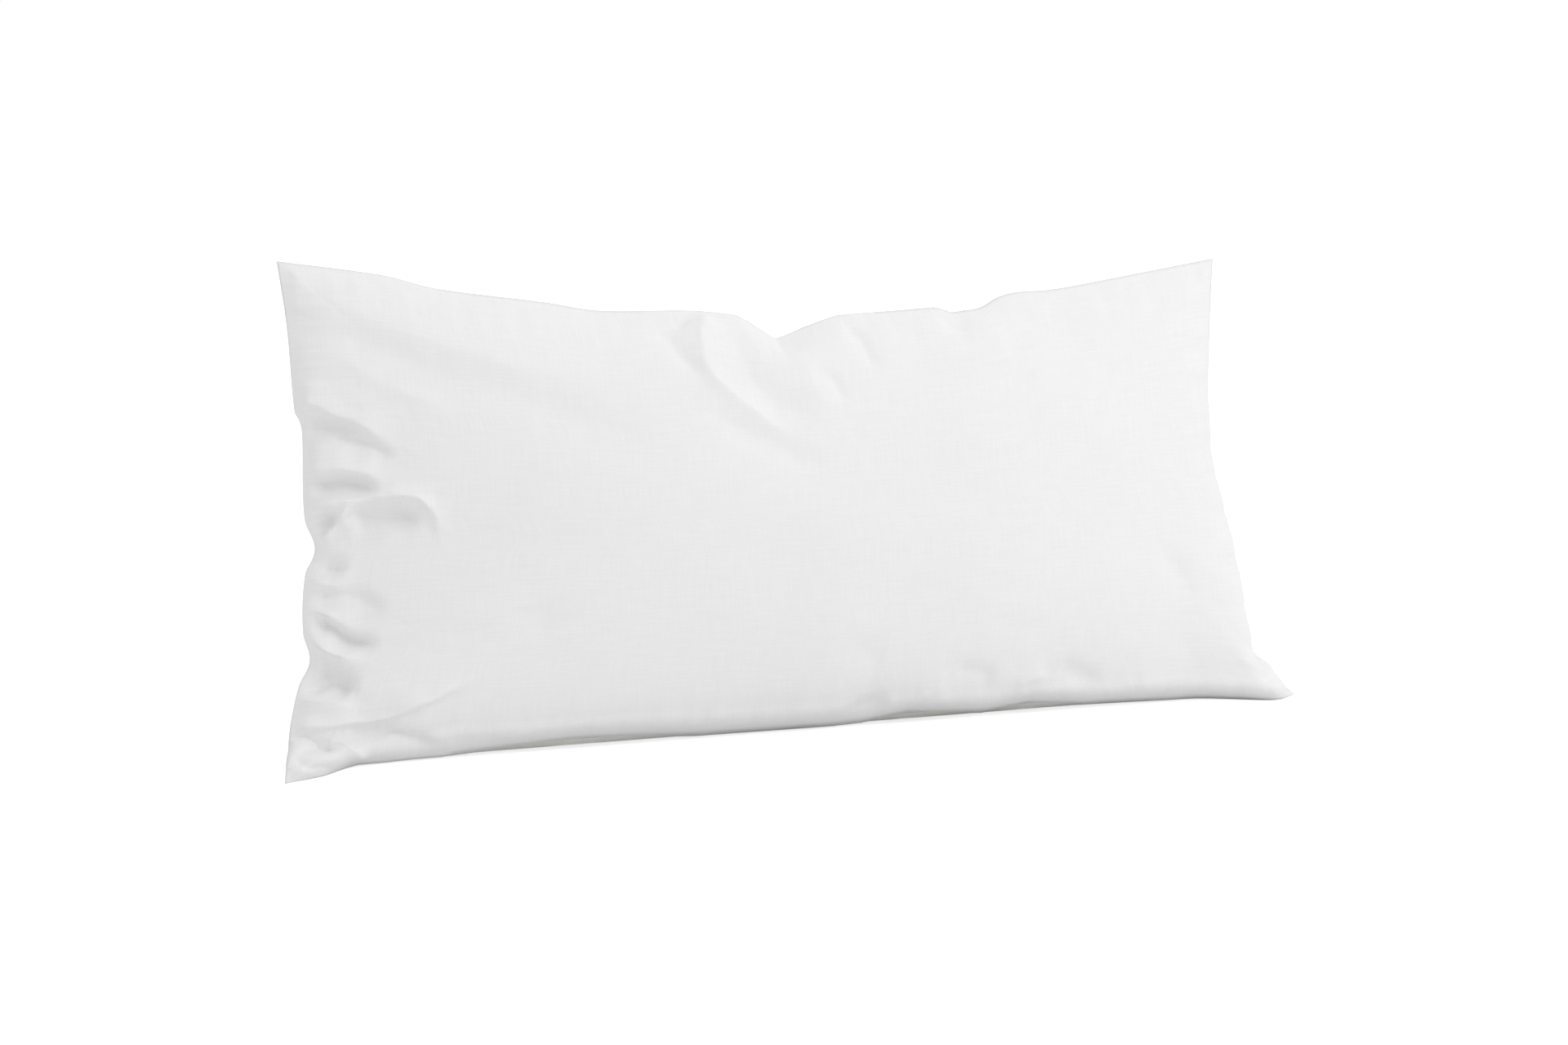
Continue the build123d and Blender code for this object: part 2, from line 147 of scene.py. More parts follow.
# Folds in the front panel, in millimetres: how far each stands out (a hollow is below zero),
# how wide it is above its line and below it, and then the x and h of places along its line
FRONT_FOLDS = [
    # Folds that gather at the dip in the top seam
    (4.6, 10, 11, (-62, 338), (-74, 314), (-78, 292), (-73, 272), (-57, 252), (-36, 235), (-10, 218)),
    (-2.4, 10, 8, (-106, 318), (-100, 300), (-90, 284), (-82, 268)),
    (-2.2, 10, 12, (-72, 240), (-46, 222), (-20, 208), (6, 202)),
    (-3, 14, 18, (-36, 318), (-46, 296), (-40, 268), (-18, 246), (0, 232)),
    (1.6, 12, 18, (-8, 306), (0, 288), (6, 262), (18, 236)),
    (-3, 6, 4, (-94, 318), (-82, 326), (-70, 334)),
    (-2, 6, 8, (50, 318), (58, 294), (58, 272)),
    (-1.8, 6, 8, (20, 274), (28, 250)),
    (-2.2, 8, 10, (130, 334), (138, 306)),
    (1.6, 12, 14, (160, 332), (168, 300), (176, 270)),
    # Puckers along the zip
    (6, 16, 4, (-386, 268), (-366, 262), (-347, 250), (-318, 230)),
    (-6.2, 5, 12, (-381, 254), (-358, 248), (-340, 238)),
    (-4.5, 4, 8, (-350, 238), (-334, 230), (-318, 220)),
    (2.8, 6, 8, (-384, 232), (-364, 234), (-344, 226)),
    (5.5, 14, 3, (-382, 215), (-350, 213), (-324, 202)),
    (-8.5, 3.5, 8, (-381, 207), (-352, 205), (-328, 197)),
    (6.2, 6, 4, (-380, 190), (-357, 190), (-330, 193), (-306, 190), (-293, 178), (-290, 156)),
    (-10, 8, 10, (-386, 174), (-372, 177), (-358, 184)),
    (5.6, 3, 5, (-352, 188), (-361, 178), (-378, 162)),
    (-9, 6, 12, (-352, 178), (-322, 180), (-300, 170)),
    (-6.6, 7, 9, (-388, 148), (-368, 146), (-356, 138)),
    (3, 4, 5, (-386, 136), (-366, 130), (-352, 124)),
    (-6.2, 6, 14, (-386, 126), (-352, 122), (-328, 106)),
    (3.6, 3, 3, (-388, 116), (-377, 112), (-364, 104)),
    (-9.8, 5, 7, (-382, 108), (-366, 96), (-350, 88), (-334, 88)),
    (8.2, 4, 7, (-387, 103), (-380, 92), (-366, 80), (-346, 74)),
    (-13, 14, 9, (-396, 63), (-376, 62), (-352, 52)),
    (6, 3, 6, (-396, 52), (-378, 46), (-352, 43)),
    # Creases that run out of the lower left ear
    (5.6, 8, 3, (-402, 29), (-370, 31), (-341, 32), (-314, 40), (-262, 60)),
    (-8, 3, 5, (-400, 24), (-382, 20), (-366, 12)),
    (-6, 6, 10, (-366, 26), (-340, 24), (-312, 15), (-290, 4)),
    (5.5, 4, 5, (-378, 22), (-360, 10), (-345, 2)),
    (-4, 4, 4, (-404, 12), (-385, 4), (-368, 0)),
    # Slack across the middle and out of the upper left corner
    (3, 18, 18, (-372, 352), (-320, 322), (-240, 290), (-150, 266)),
    (-3.5, 16, 22, (-366, 330), (-300, 292), (-210, 256), (-120, 214)),
    (2.5, 12, 12, (-352, 300), (-310, 270), (-270, 250)),
    (-3, 20, 24, (-226, 108), (-218, 82)),
    (-2.2, 8, 14, (296, 116), (318, 78)),
    # The crease where the body ends and the lower right ear begins, and the one across the ear
    (-6, 4, 5, (382, 70), (385, 44), (380, 20), (383, 2)),
    (3, 4, 4, (392, 28), (402, 12), (410, 2)),
    # Scallops above the foot seam
    (-3.5, 8, 8, (-292, 10), (-235, 6)),
    (-4.5, 10, 10, (20, 10), (52, 18)),
    (-2.2, 12, 14, (18, 58), (46, 42)),
    (3, 12, 8, (72, 20), (100, 26)),
    (-3.6, 8, 12, (104, 38), (140, 28)),
    (3, 12, 8, (156, 22), (184, 30)),
    (-3.6, 10, 10, (192, 34), (232, 20)),
    (2.2, 10, 8, (262, 18), (318, 22)),
]

# Folds in the back panel, as above
BACK_FOLDS = [
    # Cloth that stands up behind the two dips in the top seam
    (10, 12, 16, (-4, 312), (16, 318), (48, 322)),
    (10, 12, 16, (140, 334), (166, 338), (190, 342)),
    (6, 12, 16, (-40, 322), (-60, 280), (-52, 230), (-20, 190)),
    (-8, 14, 16, (-10, 312), (-12, 270), (6, 225)),
    (5, 12, 14, (24, 318), (40, 280), (70, 235)),
    (-5, 12, 16, (150, 336), (168, 290), (210, 245)),
    (5, 10, 8, (-340, 262), (-300, 254), (-262, 232)),
    (-5, 7, 9, (-340, 246), (-305, 238)),
    (-6, 8, 10, (-340, 205), (-300, 200), (-268, 182)),
    (5, 8, 8, (-340, 188), (-296, 180)),
    (-6, 8, 10, (-340, 148), (-306, 142), (-276, 124)),
    (5, 9, 9, (-340, 104), (-300, 108), (-266, 96)),
    (-5, 8, 8, (-340, 88), (-306, 88)),
    (-5, 9, 11, (376, 200), (340, 204), (300, 190)),
    (4, 9, 9, (372, 176), (330, 176)),
    (-5, 10, 10, (380, 105), (344, 112), (306, 100)),
    (5, 18, 18, (-370, 350), (-310, 310), (-220, 280)),
    (4, 20, 18, (372, 350), (310, 300), (230, 270)),
    (-4, 16, 20, (-210, 60), (-150, 90)),
    (-4, 18, 18, (80, 70), (150, 52)),
]

made = {}


# ---------------------------------------------------------------- settings
class PillowCaseSettings(bpy.types.PropertyGroup):
    """Sizes and colours of the sewn case."""

    cloth_length: FloatProperty(
        name="Cloth length", description="Length each panel was cut to", default=0.8, unit="LENGTH"
    )
    cloth_height: FloatProperty(
        name="Cloth height", description="Height each panel was cut to", default=0.4, unit="LENGTH"
    )
    cloth_thickness: FloatProperty(
        name="Cloth thickness", description="Thickness of the cotton", default=0.00035, unit="LENGTH"
    )
    cell: FloatProperty(
        name="Cell",
        description="Size of the cloth's squares while it settles", default=0.4 / 60, unit="LENGTH",
    )
    swell: FloatProperty(
        name="Swell",
        description="How far each panel stands off the seams before it settles",
        default=0.072,
        unit="LENGTH",
    )
    pressure: FloatProperty(
        name="Pressure", description="How hard the filling pushes the case out", default=4.0
    )
    settle_frames: IntProperty(
        name="Settling frames", description="Steps the cloth settles for", default=36
    )
    colour: FloatVectorProperty(
        name="Cotton", description="Colour of the cotton", default=(0.80, 0.80, 0.80), **COLOUR
    )
    thread_colour: FloatVectorProperty(
        name="Thread", description="Colour of the sewing thread", default=(0.84, 0.84, 0.83), **COLOUR
    )
    label_colour: FloatVectorProperty(
        name="Label", description="Colour of the blank care label", default=(0.82, 0.82, 0.80), **COLOUR
    )


class PillowZipSettings(bpy.types.PropertyGroup):
    """Sizes and colours of the zip."""

    coil_pitch: FloatProperty(
        name="Coil pitch",
        description="Distance from one turn of a coil to the next", default=0.0015, unit="LENGTH",
    )
    wire_radius: FloatProperty(
        name="Wire radius",
        description="Radius of the nylon that is wound into a coil", default=0.00034, unit="LENGTH",
    )
    tape_colour: FloatVectorProperty(
        name="Tape", description="Colour of the woven tapes", default=(0.78, 0.78, 0.77), **COLOUR
    )
    coil_colour: FloatVectorProperty(
        name="Coil",
        description="Colour of the nylon coils and stops", default=(0.82, 0.82, 0.80), **COLOUR,
    )
    metal_colour: FloatVectorProperty(
        name="Metal",
        description="Colour of the slider and pull tab", default=(0.72, 0.72, 0.71), **COLOUR,
    )


class PillowInnerSettings(bpy.types.PropertyGroup):
    """Sizes and colours of the inner pillow and its filling."""

    clearance: FloatProperty(
        name="Clearance",
        description="Room between the case and the ticking", default=0.003, unit="LENGTH",
    )
    filling_clearance: FloatProperty(
        name="Filling clearance",
        description="Room between the ticking and the filling", default=0.0022, unit="LENGTH",
    )
    ticking_thickness: FloatProperty(
        name="Ticking thickness", description="Thickness of the ticking", default=0.0005, unit="LENGTH"
    )
    ticking_colour: FloatVectorProperty(
        name="Ticking", description="Colour of the ticking", default=(0.74, 0.73, 0.69), **COLOUR
    )
    fibre_colour: FloatVectorProperty(
        name="Fibre", description="Colour of the filling", default=(0.86, 0.86, 0.85), **COLOUR
    )


class PillowStageSettings(bpy.types.PropertyGroup):
    """Floor, lights and camera."""

    floor_colour: FloatVectorProperty(
        name="Floor", description="Colour of the floor", default=(0.92, 0.92, 0.92), **COLOUR
    )
    surround: FloatProperty(
        name="Surround", description="Strength of the light from all round", default=0.86, min=0
    )
    key_power: FloatProperty(
        name="Key light",
        description="Power of the large light on the right", default=19.0, subtype="POWER",
    )
    lens: FloatProperty(name="Lens", description="Focal length of the camera in millimetres", default=50.0)
    camera_place: FloatVectorProperty(
        name="Camera",
        description="Where the camera stands",
        subtype="TRANSLATION",
        size=3,
        default=(-0.5594, -1.5555, 0.3933),
    )
    camera_turn: FloatProperty(
        name="Camera turn",
        description="How far the camera is turned from straight ahead",
        subtype="ANGLE",
        default=math.radians(-18.85),
    )
    camera_tilt: FloatProperty(
        name="Camera tilt",
        description="How far the camera looks up", subtype="ANGLE", default=math.radians(-7.93),
    )


# ---------------------------------------------------------------- finishes
def add_node(tree, kind, inputs=None, **settings):
    """Adds a shader node with its settings, and with a value or a link for each of its inputs."""
    node = tree.nodes.new("ShaderNode" + kind)
    for name, value in settings.items():
        setattr(node, name, value)
    for key, value in (inputs or {}).items():
        if isinstance(value, bpy.types.NodeSocket):
            tree.links.new(value, node.inputs[key])
        else:
            node.inputs[key].default_value = value
    return node


def new_group(name, inputs, outputs):
    """An empty node group, with the sockets that its nodes take from and give to."""
    tree = bpy.data.node_groups.new(name, "ShaderNodeTree")
    for socket, value in inputs.items():
        kind = "NodeSocketVector" if value is None else "NodeSocketFloat"
        made_socket = tree.interface.new_socket(socket, in_out="INPUT", socket_type=kind)
        if value is not None:
            made_socket.default_value = value
    for socket in outputs:
        tree.interface.new_socket(socket, in_out="OUTPUT", socket_type="NodeSocketFloat")
    return tree, tree.nodes.new("NodeGroupInput").outputs, tree.nodes.new("NodeGroupOutput").inputs


def weave_group():
    """A plain weave: crossing threads and the thicker slubs among them."""
    if "plain_weave" in bpy.data.node_groups:
        return bpy.data.node_groups["plain_weave"]
    inputs = {"Place": None, "Threads per Metre": 3200, "Slub": 0.5}
    tree, given, out = new_group("plain_weave", inputs, ("Height", "Shade"))

    def maths(operation, *values):
        return add_node(tree, "Math", dict(enumerate(values)), operation=operation).outputs[0]

    def streaks(scale):
        stretch = add_node(tree, "Mapping", {"Scale": scale, "Vector": given["Place"]})
        grain = {"Scale": 1.0, "Detail": 2.0, "Vector": stretch.outputs[0]}
        return add_node(tree, "TexNoise", grain).outputs["Fac"]

    apart = add_node(tree, "SeparateXYZ", {0: given["Place"]})
    turns = maths("MULTIPLY", given["Threads per Metre"], math.pi)
    warp, weft = [maths("SINE", maths("MULTIPLY", apart.outputs[axis], turns)) for axis in "XY"]
    crossing = maths("MULTIPLY", warp, weft)
    slubs = maths("ADD", streaks((34, 620, 34)), streaks((620, 34, 34)))
    slubs = maths("MULTIPLY", maths("SUBTRACT", slubs, 1.0), given["Slub"])
    tree.links.new(maths("ADD", maths("MULTIPLY", crossing, 0.25), slubs), out["Height"])
    tree.links.new(maths("ADD", slubs, 0.5), out["Shade"])
    return tree


def wear_group():
    """Broad and fine unevenness of a surface, as one value about a half."""
    if "unevenness" in bpy.data.node_groups:
        return bpy.data.node_groups["unevenness"]
    tree, given, out = new_group("unevenness", {"Place": None, "Scale": 20}, ("Value",))
    grain = {"Detail": 4.0, "Vector": given["Place"], "Scale": given["Scale"]}
    tree.links.new(add_node(tree, "TexNoise", grain).outputs["Fac"], out["Value"])
    return tree


def finish(name, colour, deep, roughness, threads=0, slub=0.0, bump=0.00002, scale=25, uv=False, **sockets):
    """A material that moves between a colour and a share of it, with a weave or a fine grain in relief."""
    material = bpy.data.materials.get(name)
    if material:
        return material
    material = bpy.data.materials.new(name)
    material.use_nodes = True
    tree = material.node_tree
    shader = tree.nodes["Principled BSDF"]
    if uv:
        where = add_node(tree, "UVMap", uv_map="cut").outputs["UV"]
    else:
        where = add_node(tree, "TexCoord").outputs["Object"]
    uneven = add_node(tree, "Group", {"Scale": scale, "Place": where}, node_tree=wear_group())
    shade = height = uneven.outputs["Value"]
    if threads:
        values = {"Threads per Metre": threads, "Slub": slub, "Place": where}
        weave = add_node(tree, "Group", values, node_tree=weave_group())
        height = weave.outputs["Height"]
        both = {0: uneven.outputs["Value"], 1: 0.35, 2: weave.outputs["Shade"]}
        shade = add_node(tree, "Math", both, operation="MULTIPLY_ADD").outputs[0]
    ramp = add_node(tree, "ValToRGB", {0: shade})
    low, high = ramp.color_ramp.elements
    low.position, high.position = 0.2, 0.9 if threads else 0.75
    low.color, high.color = (*(c * deep for c in colour), 1), (*colour, 1)
    relief = add_node(tree, "Bump", {"Distance": bump, "Strength": 1.0, "Height": height})
    tree.links.new(ramp.outputs[0], shader.inputs["Base Color"])
    tree.links.new(relief.outputs[0], shader.inputs["Normal"])
    for socket, value in {"Roughness": roughness, **sockets}.items():
        shader.inputs[socket.replace("_", " ")].default_value = value
    return material


def cotton(settings):
    sheen = {"Sheen_Weight": 0.06, "Sheen_Roughness": 0.45}
    return finish("white_cotton", settings.colour, 0.935, 0.86, 3200, 0.75, 0.00006, 6, True, **sheen)


def sewing_thread(settings):
    colour = settings.thread_colour
    return finish("sewing_thread", colour, 0.86, 0.6, scale=900, bump=0.00005, Sheen_Weight=0.2)


def zip_metal(settings):
    return finish("zip_metal", settings.metal_colour, 0.8, 0.38, scale=400, bump=0.00003, Metallic=0.9)


# ---------------------------------------------------------------- helpers
def mesh_of(bm, name):
    """Turns a bmesh into a mesh, and frees it."""
    mesh = bpy.data.meshes.new(name)
    bm.to_mesh(mesh)
    bm.free()
    return mesh


def join(bm, extra):
    """Adds one bmesh to another, and frees it."""
    mesh = mesh_of(extra, "extra")
    bm.from_mesh(mesh)
    bpy.data.meshes.remove(mesh)


def piece(name, bm, materials, nodes, body="pillow", stand=True, flat_above=None):
    """Turns a bmesh into a finished piece that rides on a body and stands for CAD nodes."""
    if stand:
        bm.transform(STAND)
    for face in bm.faces:
        face.smooth = True
    for edge in bm.edges:
        if flat_above and len(edge.link_faces) == 2 and edge.calc_face_angle(0) > flat_above:
            edge.smooth = False
    mesh = mesh_of(bm, name)
    made_piece = bpy.data.objects.new(name, mesh)
    bpy.context.scene.collection.objects.link(made_piece)
    for material in materials:
        mesh.materials.append(material)
    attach(made_piece, body)
    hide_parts(*nodes)
    return made_piece


def thicken(panel, thickness, offset=-1):
    """Gives a sheet its thickness."""
    wall = panel.modifiers.new("Cloth thickness", "SOLIDIFY")
    wall.thickness, wall.offset = thickness, offset


def lay_out(bm, width, height):
    """Writes a flat grid's places on the cut cloth into its UV map."""
    cut = bm.loops.layers.uv.new("cut")
    for face in bm.faces:
        for loop in face.loops:
            loop[cut].uv = ((loop.vert.co.x + 0.5) * width, (loop.vert.co.y + 0.5) * height)


def along(points, share):
    """A smooth curve through points, at shares of its length, by chord-length tangents."""
    p = np.array(points, float)
    s = np.r_[0, np.cumsum(np.linalg.norm(np.diff(p, axis=0), axis=1))]
    s /= s[-1]
    m = np.zeros_like(p)
    m[1:-1] = (p[2:] - p[:-2]) / (s[2:] - s[:-2])[:, None]
    m[0], m[-1] = (p[1] - p[0]) / (s[1] - s[0]), (p[-1] - p[-2]) / (s[-1] - s[-2])
    t = np.clip(np.asarray(share, float), 0, 1)
    i = np.clip(np.searchsorted(s, t, side="right") - 1, 0, len(s) - 2)
    h = (s[i + 1] - s[i])[:, None]
    u = ((t - s[i]) / h[:, 0])[:, None]
    return (
        (2 * u**3 - 3 * u**2 + 1) * p[i]
        + (u**3 - 2 * u**2 + u) * h * m[i]
        + (3 * u**2 - 2 * u**3) * p[i + 1]
        + (u**3 - u**2) * h * m[i + 1]
    )


def seam_surface(across, up):
    """Places on the surface that spans the case's sewn edge, at shares of its length and height."""
    u, v = across[:, None], up[:, None]
    corners = [np.array(p, float) for p in (FOOT_SEAM[0], FOOT_SEAM[-1], TOP_SEAM[0], TOP_SEAM[-1])]
    return (
        (1 - v) * along(FOOT_SEAM, across)
        + v * along(TOP_SEAM, across)
        + (1 - u) * along(LEFT_SEAM, up)
        + u * along(RIGHT_SEAM, up)
        - (1 - u) * (1 - v) * corners[0]
        - u * (1 - v) * corners[1]
        - (1 - u) * v * corners[2]
        - u * v * corners[3]
    )


def smooth(value):
    value = np.clip(value, 0, 1)
    return value * value * (3 - 2 * value)


def crown(across, up):
    """How much of the swell a place on the pillow has, from 0 at its edges to 1."""
    ends = np.clip(1 - np.abs(2 * across - 1) ** 3, 0, 1) ** 0.6
    above = np.clip(1 - (np.clip(up - 0.42, 0, 1) / 0.58) ** 2, 0, 1) ** 0.75
    below = np.clip(1 - (np.clip(0.42 - up, 0, 1) / 0.42) ** 2.2, 0, 1) ** 0.5
    return ends * np.where(up > 0.42, above, below)


def fold_relief(places, folds):
    """How far each place of x and h stands out for all of the folds."""
    relief = np.zeros(len(places))
    # No fold runs quite true
    stray = [noise.noise_vector(Vector((x * 55, h * 55, 0))) for x, h in places]
    places = places + 0.0022 * np.array([(s.x, s.y) for s in stray])
    for fold in folds:
        height, width_above, width_below = (value / 1000 for value in fold[:3])
        points = along(metres(*fold[3:]), np.linspace(0, 1, 24))
        steps = points[1:] - points[:-1]
        lengths = np.linalg.norm(steps, axis=1)
        starts = np.r_[0, np.cumsum(lengths)][:-1]
        whole = lengths.sum()
        best = np.full(len(places), 9.0)
        share, signed = np.zeros(len(places)), np.zeros(len(places))
        for start, step, length, before in zip(points, steps, lengths, starts):
            ahead = step / length
            off = places - start
            t = np.clip(off @ ahead, 0, length)
            gap = off - t[:, None] * ahead
            distance = np.hypot(gap[:, 0], gap[:, 1])
            nearer = distance < best
            best[nearer] = distance[nearer]
            share[nearer] = (before + t[nearer]) / whole
            side = ahead[0] * off[:, 1] - ahead[1] * off[:, 0]
            if ahead[0] < 0:
                side = -side
            signed[nearer] = side[nearer]
        width = np.where(signed > 0, width_above, width_below)
        crest = 1.3 if height > 0 else 1.7  # cloth creases more sharply than it sinks
        taper = (0.5 + 0.5 * smooth(share / 0.15)) * (0.1 + 0.9 * smooth((1 - share) / 0.35))
        relief += height * taper * np.exp(-((best / width) ** crest))
    return relief


def grain_of_thread():
    """One stitch, a grain of thread one metre long before it is scaled."""
    mesh = bpy.data.meshes.get("grain")
    if not mesh:
        bm = bmesh.new()
        bmesh.ops.create_uvsphere(bm, u_segments=6, v_segments=5, radius=0.5)
        mesh = mesh_of(bm, "grain")
    return mesh


def repeat(bm, mesh, matrix):
    """Adds a copy of a small mesh to a bmesh."""
    mesh.transform(matrix)
    bm.from_mesh(mesh)
    mesh.transform(matrix.inverted())


def stitch_row(bm, points, length, width, thickness):
    """Adds a stitch at each point, pointing at the next one."""
    grain = grain_of_thread()
    for here, onward in zip(points, points[1:]):
        ahead = (Vector(onward) - Vector(here)).normalized()
        across = ahead.cross(Vector((0, 0, 1))).normalized()
        out = across.cross(ahead)
        turn = Matrix((across, out, ahead)).transposed().to_4x4()
        size = Matrix.Diagonal((width, thickness, length, 1))
        repeat(bm, grain, Matrix.Translation(here) @ turn @ size)


# ---------------------------------------------------------------- case
def cut_case(settings):
    """The two flat panels, joined at their edges, as a mesh with its cut size in a UV map."""
    length, height = settings.cloth_length, settings.cloth_height
    bm = bmesh.new()
    columns, rows = round(length / settings.cell), round(height / settings.cell)
    bmesh.ops.create_grid(bm, x_segments=columns, y_segments=rows, size=0.5)
    lay_out(bm, length, height)
    bmesh.ops.scale(bm, vec=(length, height, 1), verts=bm.verts)
    back = bmesh.ops.duplicate(bm, geom=bm.verts[:] + bm.edges[:] + bm.faces[:])["geom"]
    bmesh.ops.reverse_faces(bm, faces=[g for g in back if isinstance(g, bmesh.types.BMFace)])
    back = {g for g in back if isinstance(g, bmesh.types.BMVert)}
    for v in bm.verts:
        edge = abs(abs(v.co.x) - length / 2) < 1e-6 or abs(abs(v.co.y) - height / 2) < 1e-6
        v.co.z = 0 if edge else (-0.001 if v in back else 0.001)
    bmesh.ops.remove_doubles(bm, verts=bm.verts[:], dist=1e-5)
    for name, value in (
        ("across", lambda v: v.co.x / length + 0.5),
        ("up", lambda v: v.co.y / height + 0.5),
        ("side", lambda v: (v.co.z > 0) - (v.co.z < 0)),
    ):
        layer = bm.verts.layers.float.new(name)
        for v in bm.verts:
            v[layer] = value(v)
    crease = bm.edges.layers.float.new("crease_edge")
    side = bm.verts.layers.float["side"]
    for e in bm.edges:
        if all(v[side] == 0 for v in e.verts):
            e[crease] = 1.0
    return mesh_of(bm, "case_cloth")


def read(mesh, name, count=1):
    """A mesh's places, or one of its attributes, as an array."""
    values = np.zeros(len(mesh.vertices) * count, np.float32)
    if name == "co":
        mesh.vertices.foreach_get("co", values)
    else:
        mesh.attributes[name].data.foreach_get("value", values)
    return values.reshape(-1, count).astype(float) if count > 1 else values.astype(float)


def stood(places):
    """Places of x, h and f as they stand in the frame."""
    return places @ np.array(STAND.to_3x3()).T


def laid(places):
    """Places in the frame as x, h and f."""
    return places @ np.array(STAND.to_3x3())


HEM_SHARE = 0.0333  # how much of the cloth, from its left edge, lies behind the zip
HEM_END = 0.0401  # how much of it is held flat with the zip
HEM_SPREAD = 1.2  # how far cloth past the hem reaches along x, for each metre of its cut
NEAR = 1e-4  # room allowed when two places are compared
HEM_ROWS = (8 / 60, 54 / 60)  # shares of the cloth's height between which the zip is sewn in
HEM_LOW, HEM_HIGH = ZIP_LOW - 0.001, ZIP_HIGH + 0.001

# How the cotton stretches, shears and bends while it settles
COTTON_RULES = {
    "quality": 6,
    "air_damping": 1.0,
    "tension_stiffness": 40,
    "compression_stiffness": 20,
    "shear_stiffness": 5,
    "bending_stiffness": 0.03,
    "bending_damping": 0.5,
    "use_pressure": True,
    "vertex_group_mass": "held",
}


def hem_share(up):
    """Where a share of the cloth's height lies between the ends of the zip's hem."""
    return (up - HEM_ROWS[0]) / (HEM_ROWS[1] - HEM_ROWS[0])


def hem_height(up):
    return HEM_LOW + hem_share(up) * (HEM_HIGH - HEM_LOW)


def past_hem(from_left, share=1):
    """The x of cloth that lies past the hem's edge on the back."""
    return BACK_HEM_EDGE * share + (from_left - HEM_SHARE) * HEM_SPREAD


def clear_of_tab(h):
    """The furthest back that cloth past an end of the zip may lie, so that the pull tab clears it."""
    # At its lower limit the tab lies along the zip, and at its upper limit it points up and away
    rise = math.radians(180 - TAB_LIMITS[1] + TAB_LIMITS[0])
    return HINGE.z + TAB_ROOM - np.maximum(h - HINGE.y, 0) * math.tan(rise)


def hold_hem(across, up, side, start, edge, settings):
    """Holds the strip of the back that the zip is sewn to where the tapes are, and gives its places."""
    from_left = across * settings.cloth_length
    strip = (side < 0) & (from_left < HEM_END)
    share = np.clip(from_left / HEM_SHARE, 0, 1)
    beside = along(LEFT_SEAM, np.clip(up, *HEM_ROWS))
    hem = np.stack(
        [
            beside[:, 0] * (1 - share) + past_hem(np.maximum(from_left, HEM_SHARE), share),
            beside[:, 1] * (1 - share) + hem_height(np.clip(up, *HEM_ROWS)) * share,
            np.where(share < 1, -0.001 * smooth(share * 3), HEM_BACK),
        ],
        -1,
    )
    # Past each end of the zip it runs flat to the corner
    past = np.maximum(HEM_ROWS[0] - up, 0) / HEM_ROWS[0]
    past += np.maximum(up - HEM_ROWS[1], 0) / (1 - HEM_ROWS[1])
    outside = past > 1e-3
    hem[:, :2] = hem[:, :2] * (1 - past)[:, None] + edge[:, :2] * past[:, None]
    flat_f = edge[:, 2] + HEM_BACK * smooth((1 - past) * 1.5) * smooth(share * 2)
    hem[outside, 2] = flat_f[outside]
    start[strip] = hem[strip]
    return strip


def settle_case(settings):
    """Lets the joined panels settle over the filling, and gives the settled mesh."""
    mesh = cut_case(settings)
    across, up, side = read(mesh, "across"), read(mesh, "up"), np.round(read(mesh, "side"))
    flat = read(mesh, "co", 3)
    edge = seam_surface(across, up)
    start = edge.copy()
    start[:, 2] += side * settings.swell * crown(across, up)
    strip = hold_hem(across, up, side, start, edge, settings)
    world = stood(start)
    world[:, 2] = np.maximum(world[:, 2], 0.002)

    cloth = bpy.data.objects.new("case_cloth", mesh)
    bpy.context.scene.collection.objects.link(cloth)
    standing, key = (cloth.shape_key_add(name=name) for name in ("Standing", "As cut"))
    for places, target in ((flat, key.data), (world, standing.data), (world, mesh.vertices)):
        target.foreach_set("co", places.ravel().astype(np.float32))
    mesh.update()
    held = cloth.vertex_groups.new(name="held")
    held.add([int(i) for i in np.nonzero((side == 0) | strip)[0]], 1.0, "REPLACE")

    modifier = cloth.modifiers.new("Cloth", "CLOTH")
    rules = modifier.settings
    for name, value in COTTON_RULES.items():
        setattr(rules, name, value)
    rules.uniform_pressure_force = settings.pressure
    rules.rest_shape_key = key
    rules.effector_weights.gravity = 0.03
    modifier.collision_settings.distance_min = 0.0015
    modifier.collision_settings.use_self_collision = False

    bpy.ops.mesh.primitive_plane_add(size=3)
    ground = bpy.context.object
    ground.modifiers.new("Collision", "COLLISION")
    ground.collision.thickness_outer = 0.001
    ground.collision.cloth_friction = 5

    scene = bpy.context.scene
    frames = settings.settle_frames
    scene.frame_start, scene.frame_end = 1, frames
    modifier.point_cache.frame_start, modifier.point_cache.frame_end = 1, frames
    finer = cloth.modifiers.new("Finer", "SUBSURF")
    finer.levels = finer.render_levels = 1
    for step in range(1, frames + 1):
        scene.frame_set(step)
    result = bpy.data.meshes.new_from_object(cloth.evaluated_get(bpy.context.evaluated_depsgraph_get()))
    scene.frame_set(1)
    bpy.data.objects.remove(cloth)
    bpy.data.objects.remove(ground)
    if len(result.vertices) < 3 * len(across):
        raise RuntimeError("the case's cloth was not refined")
    return result


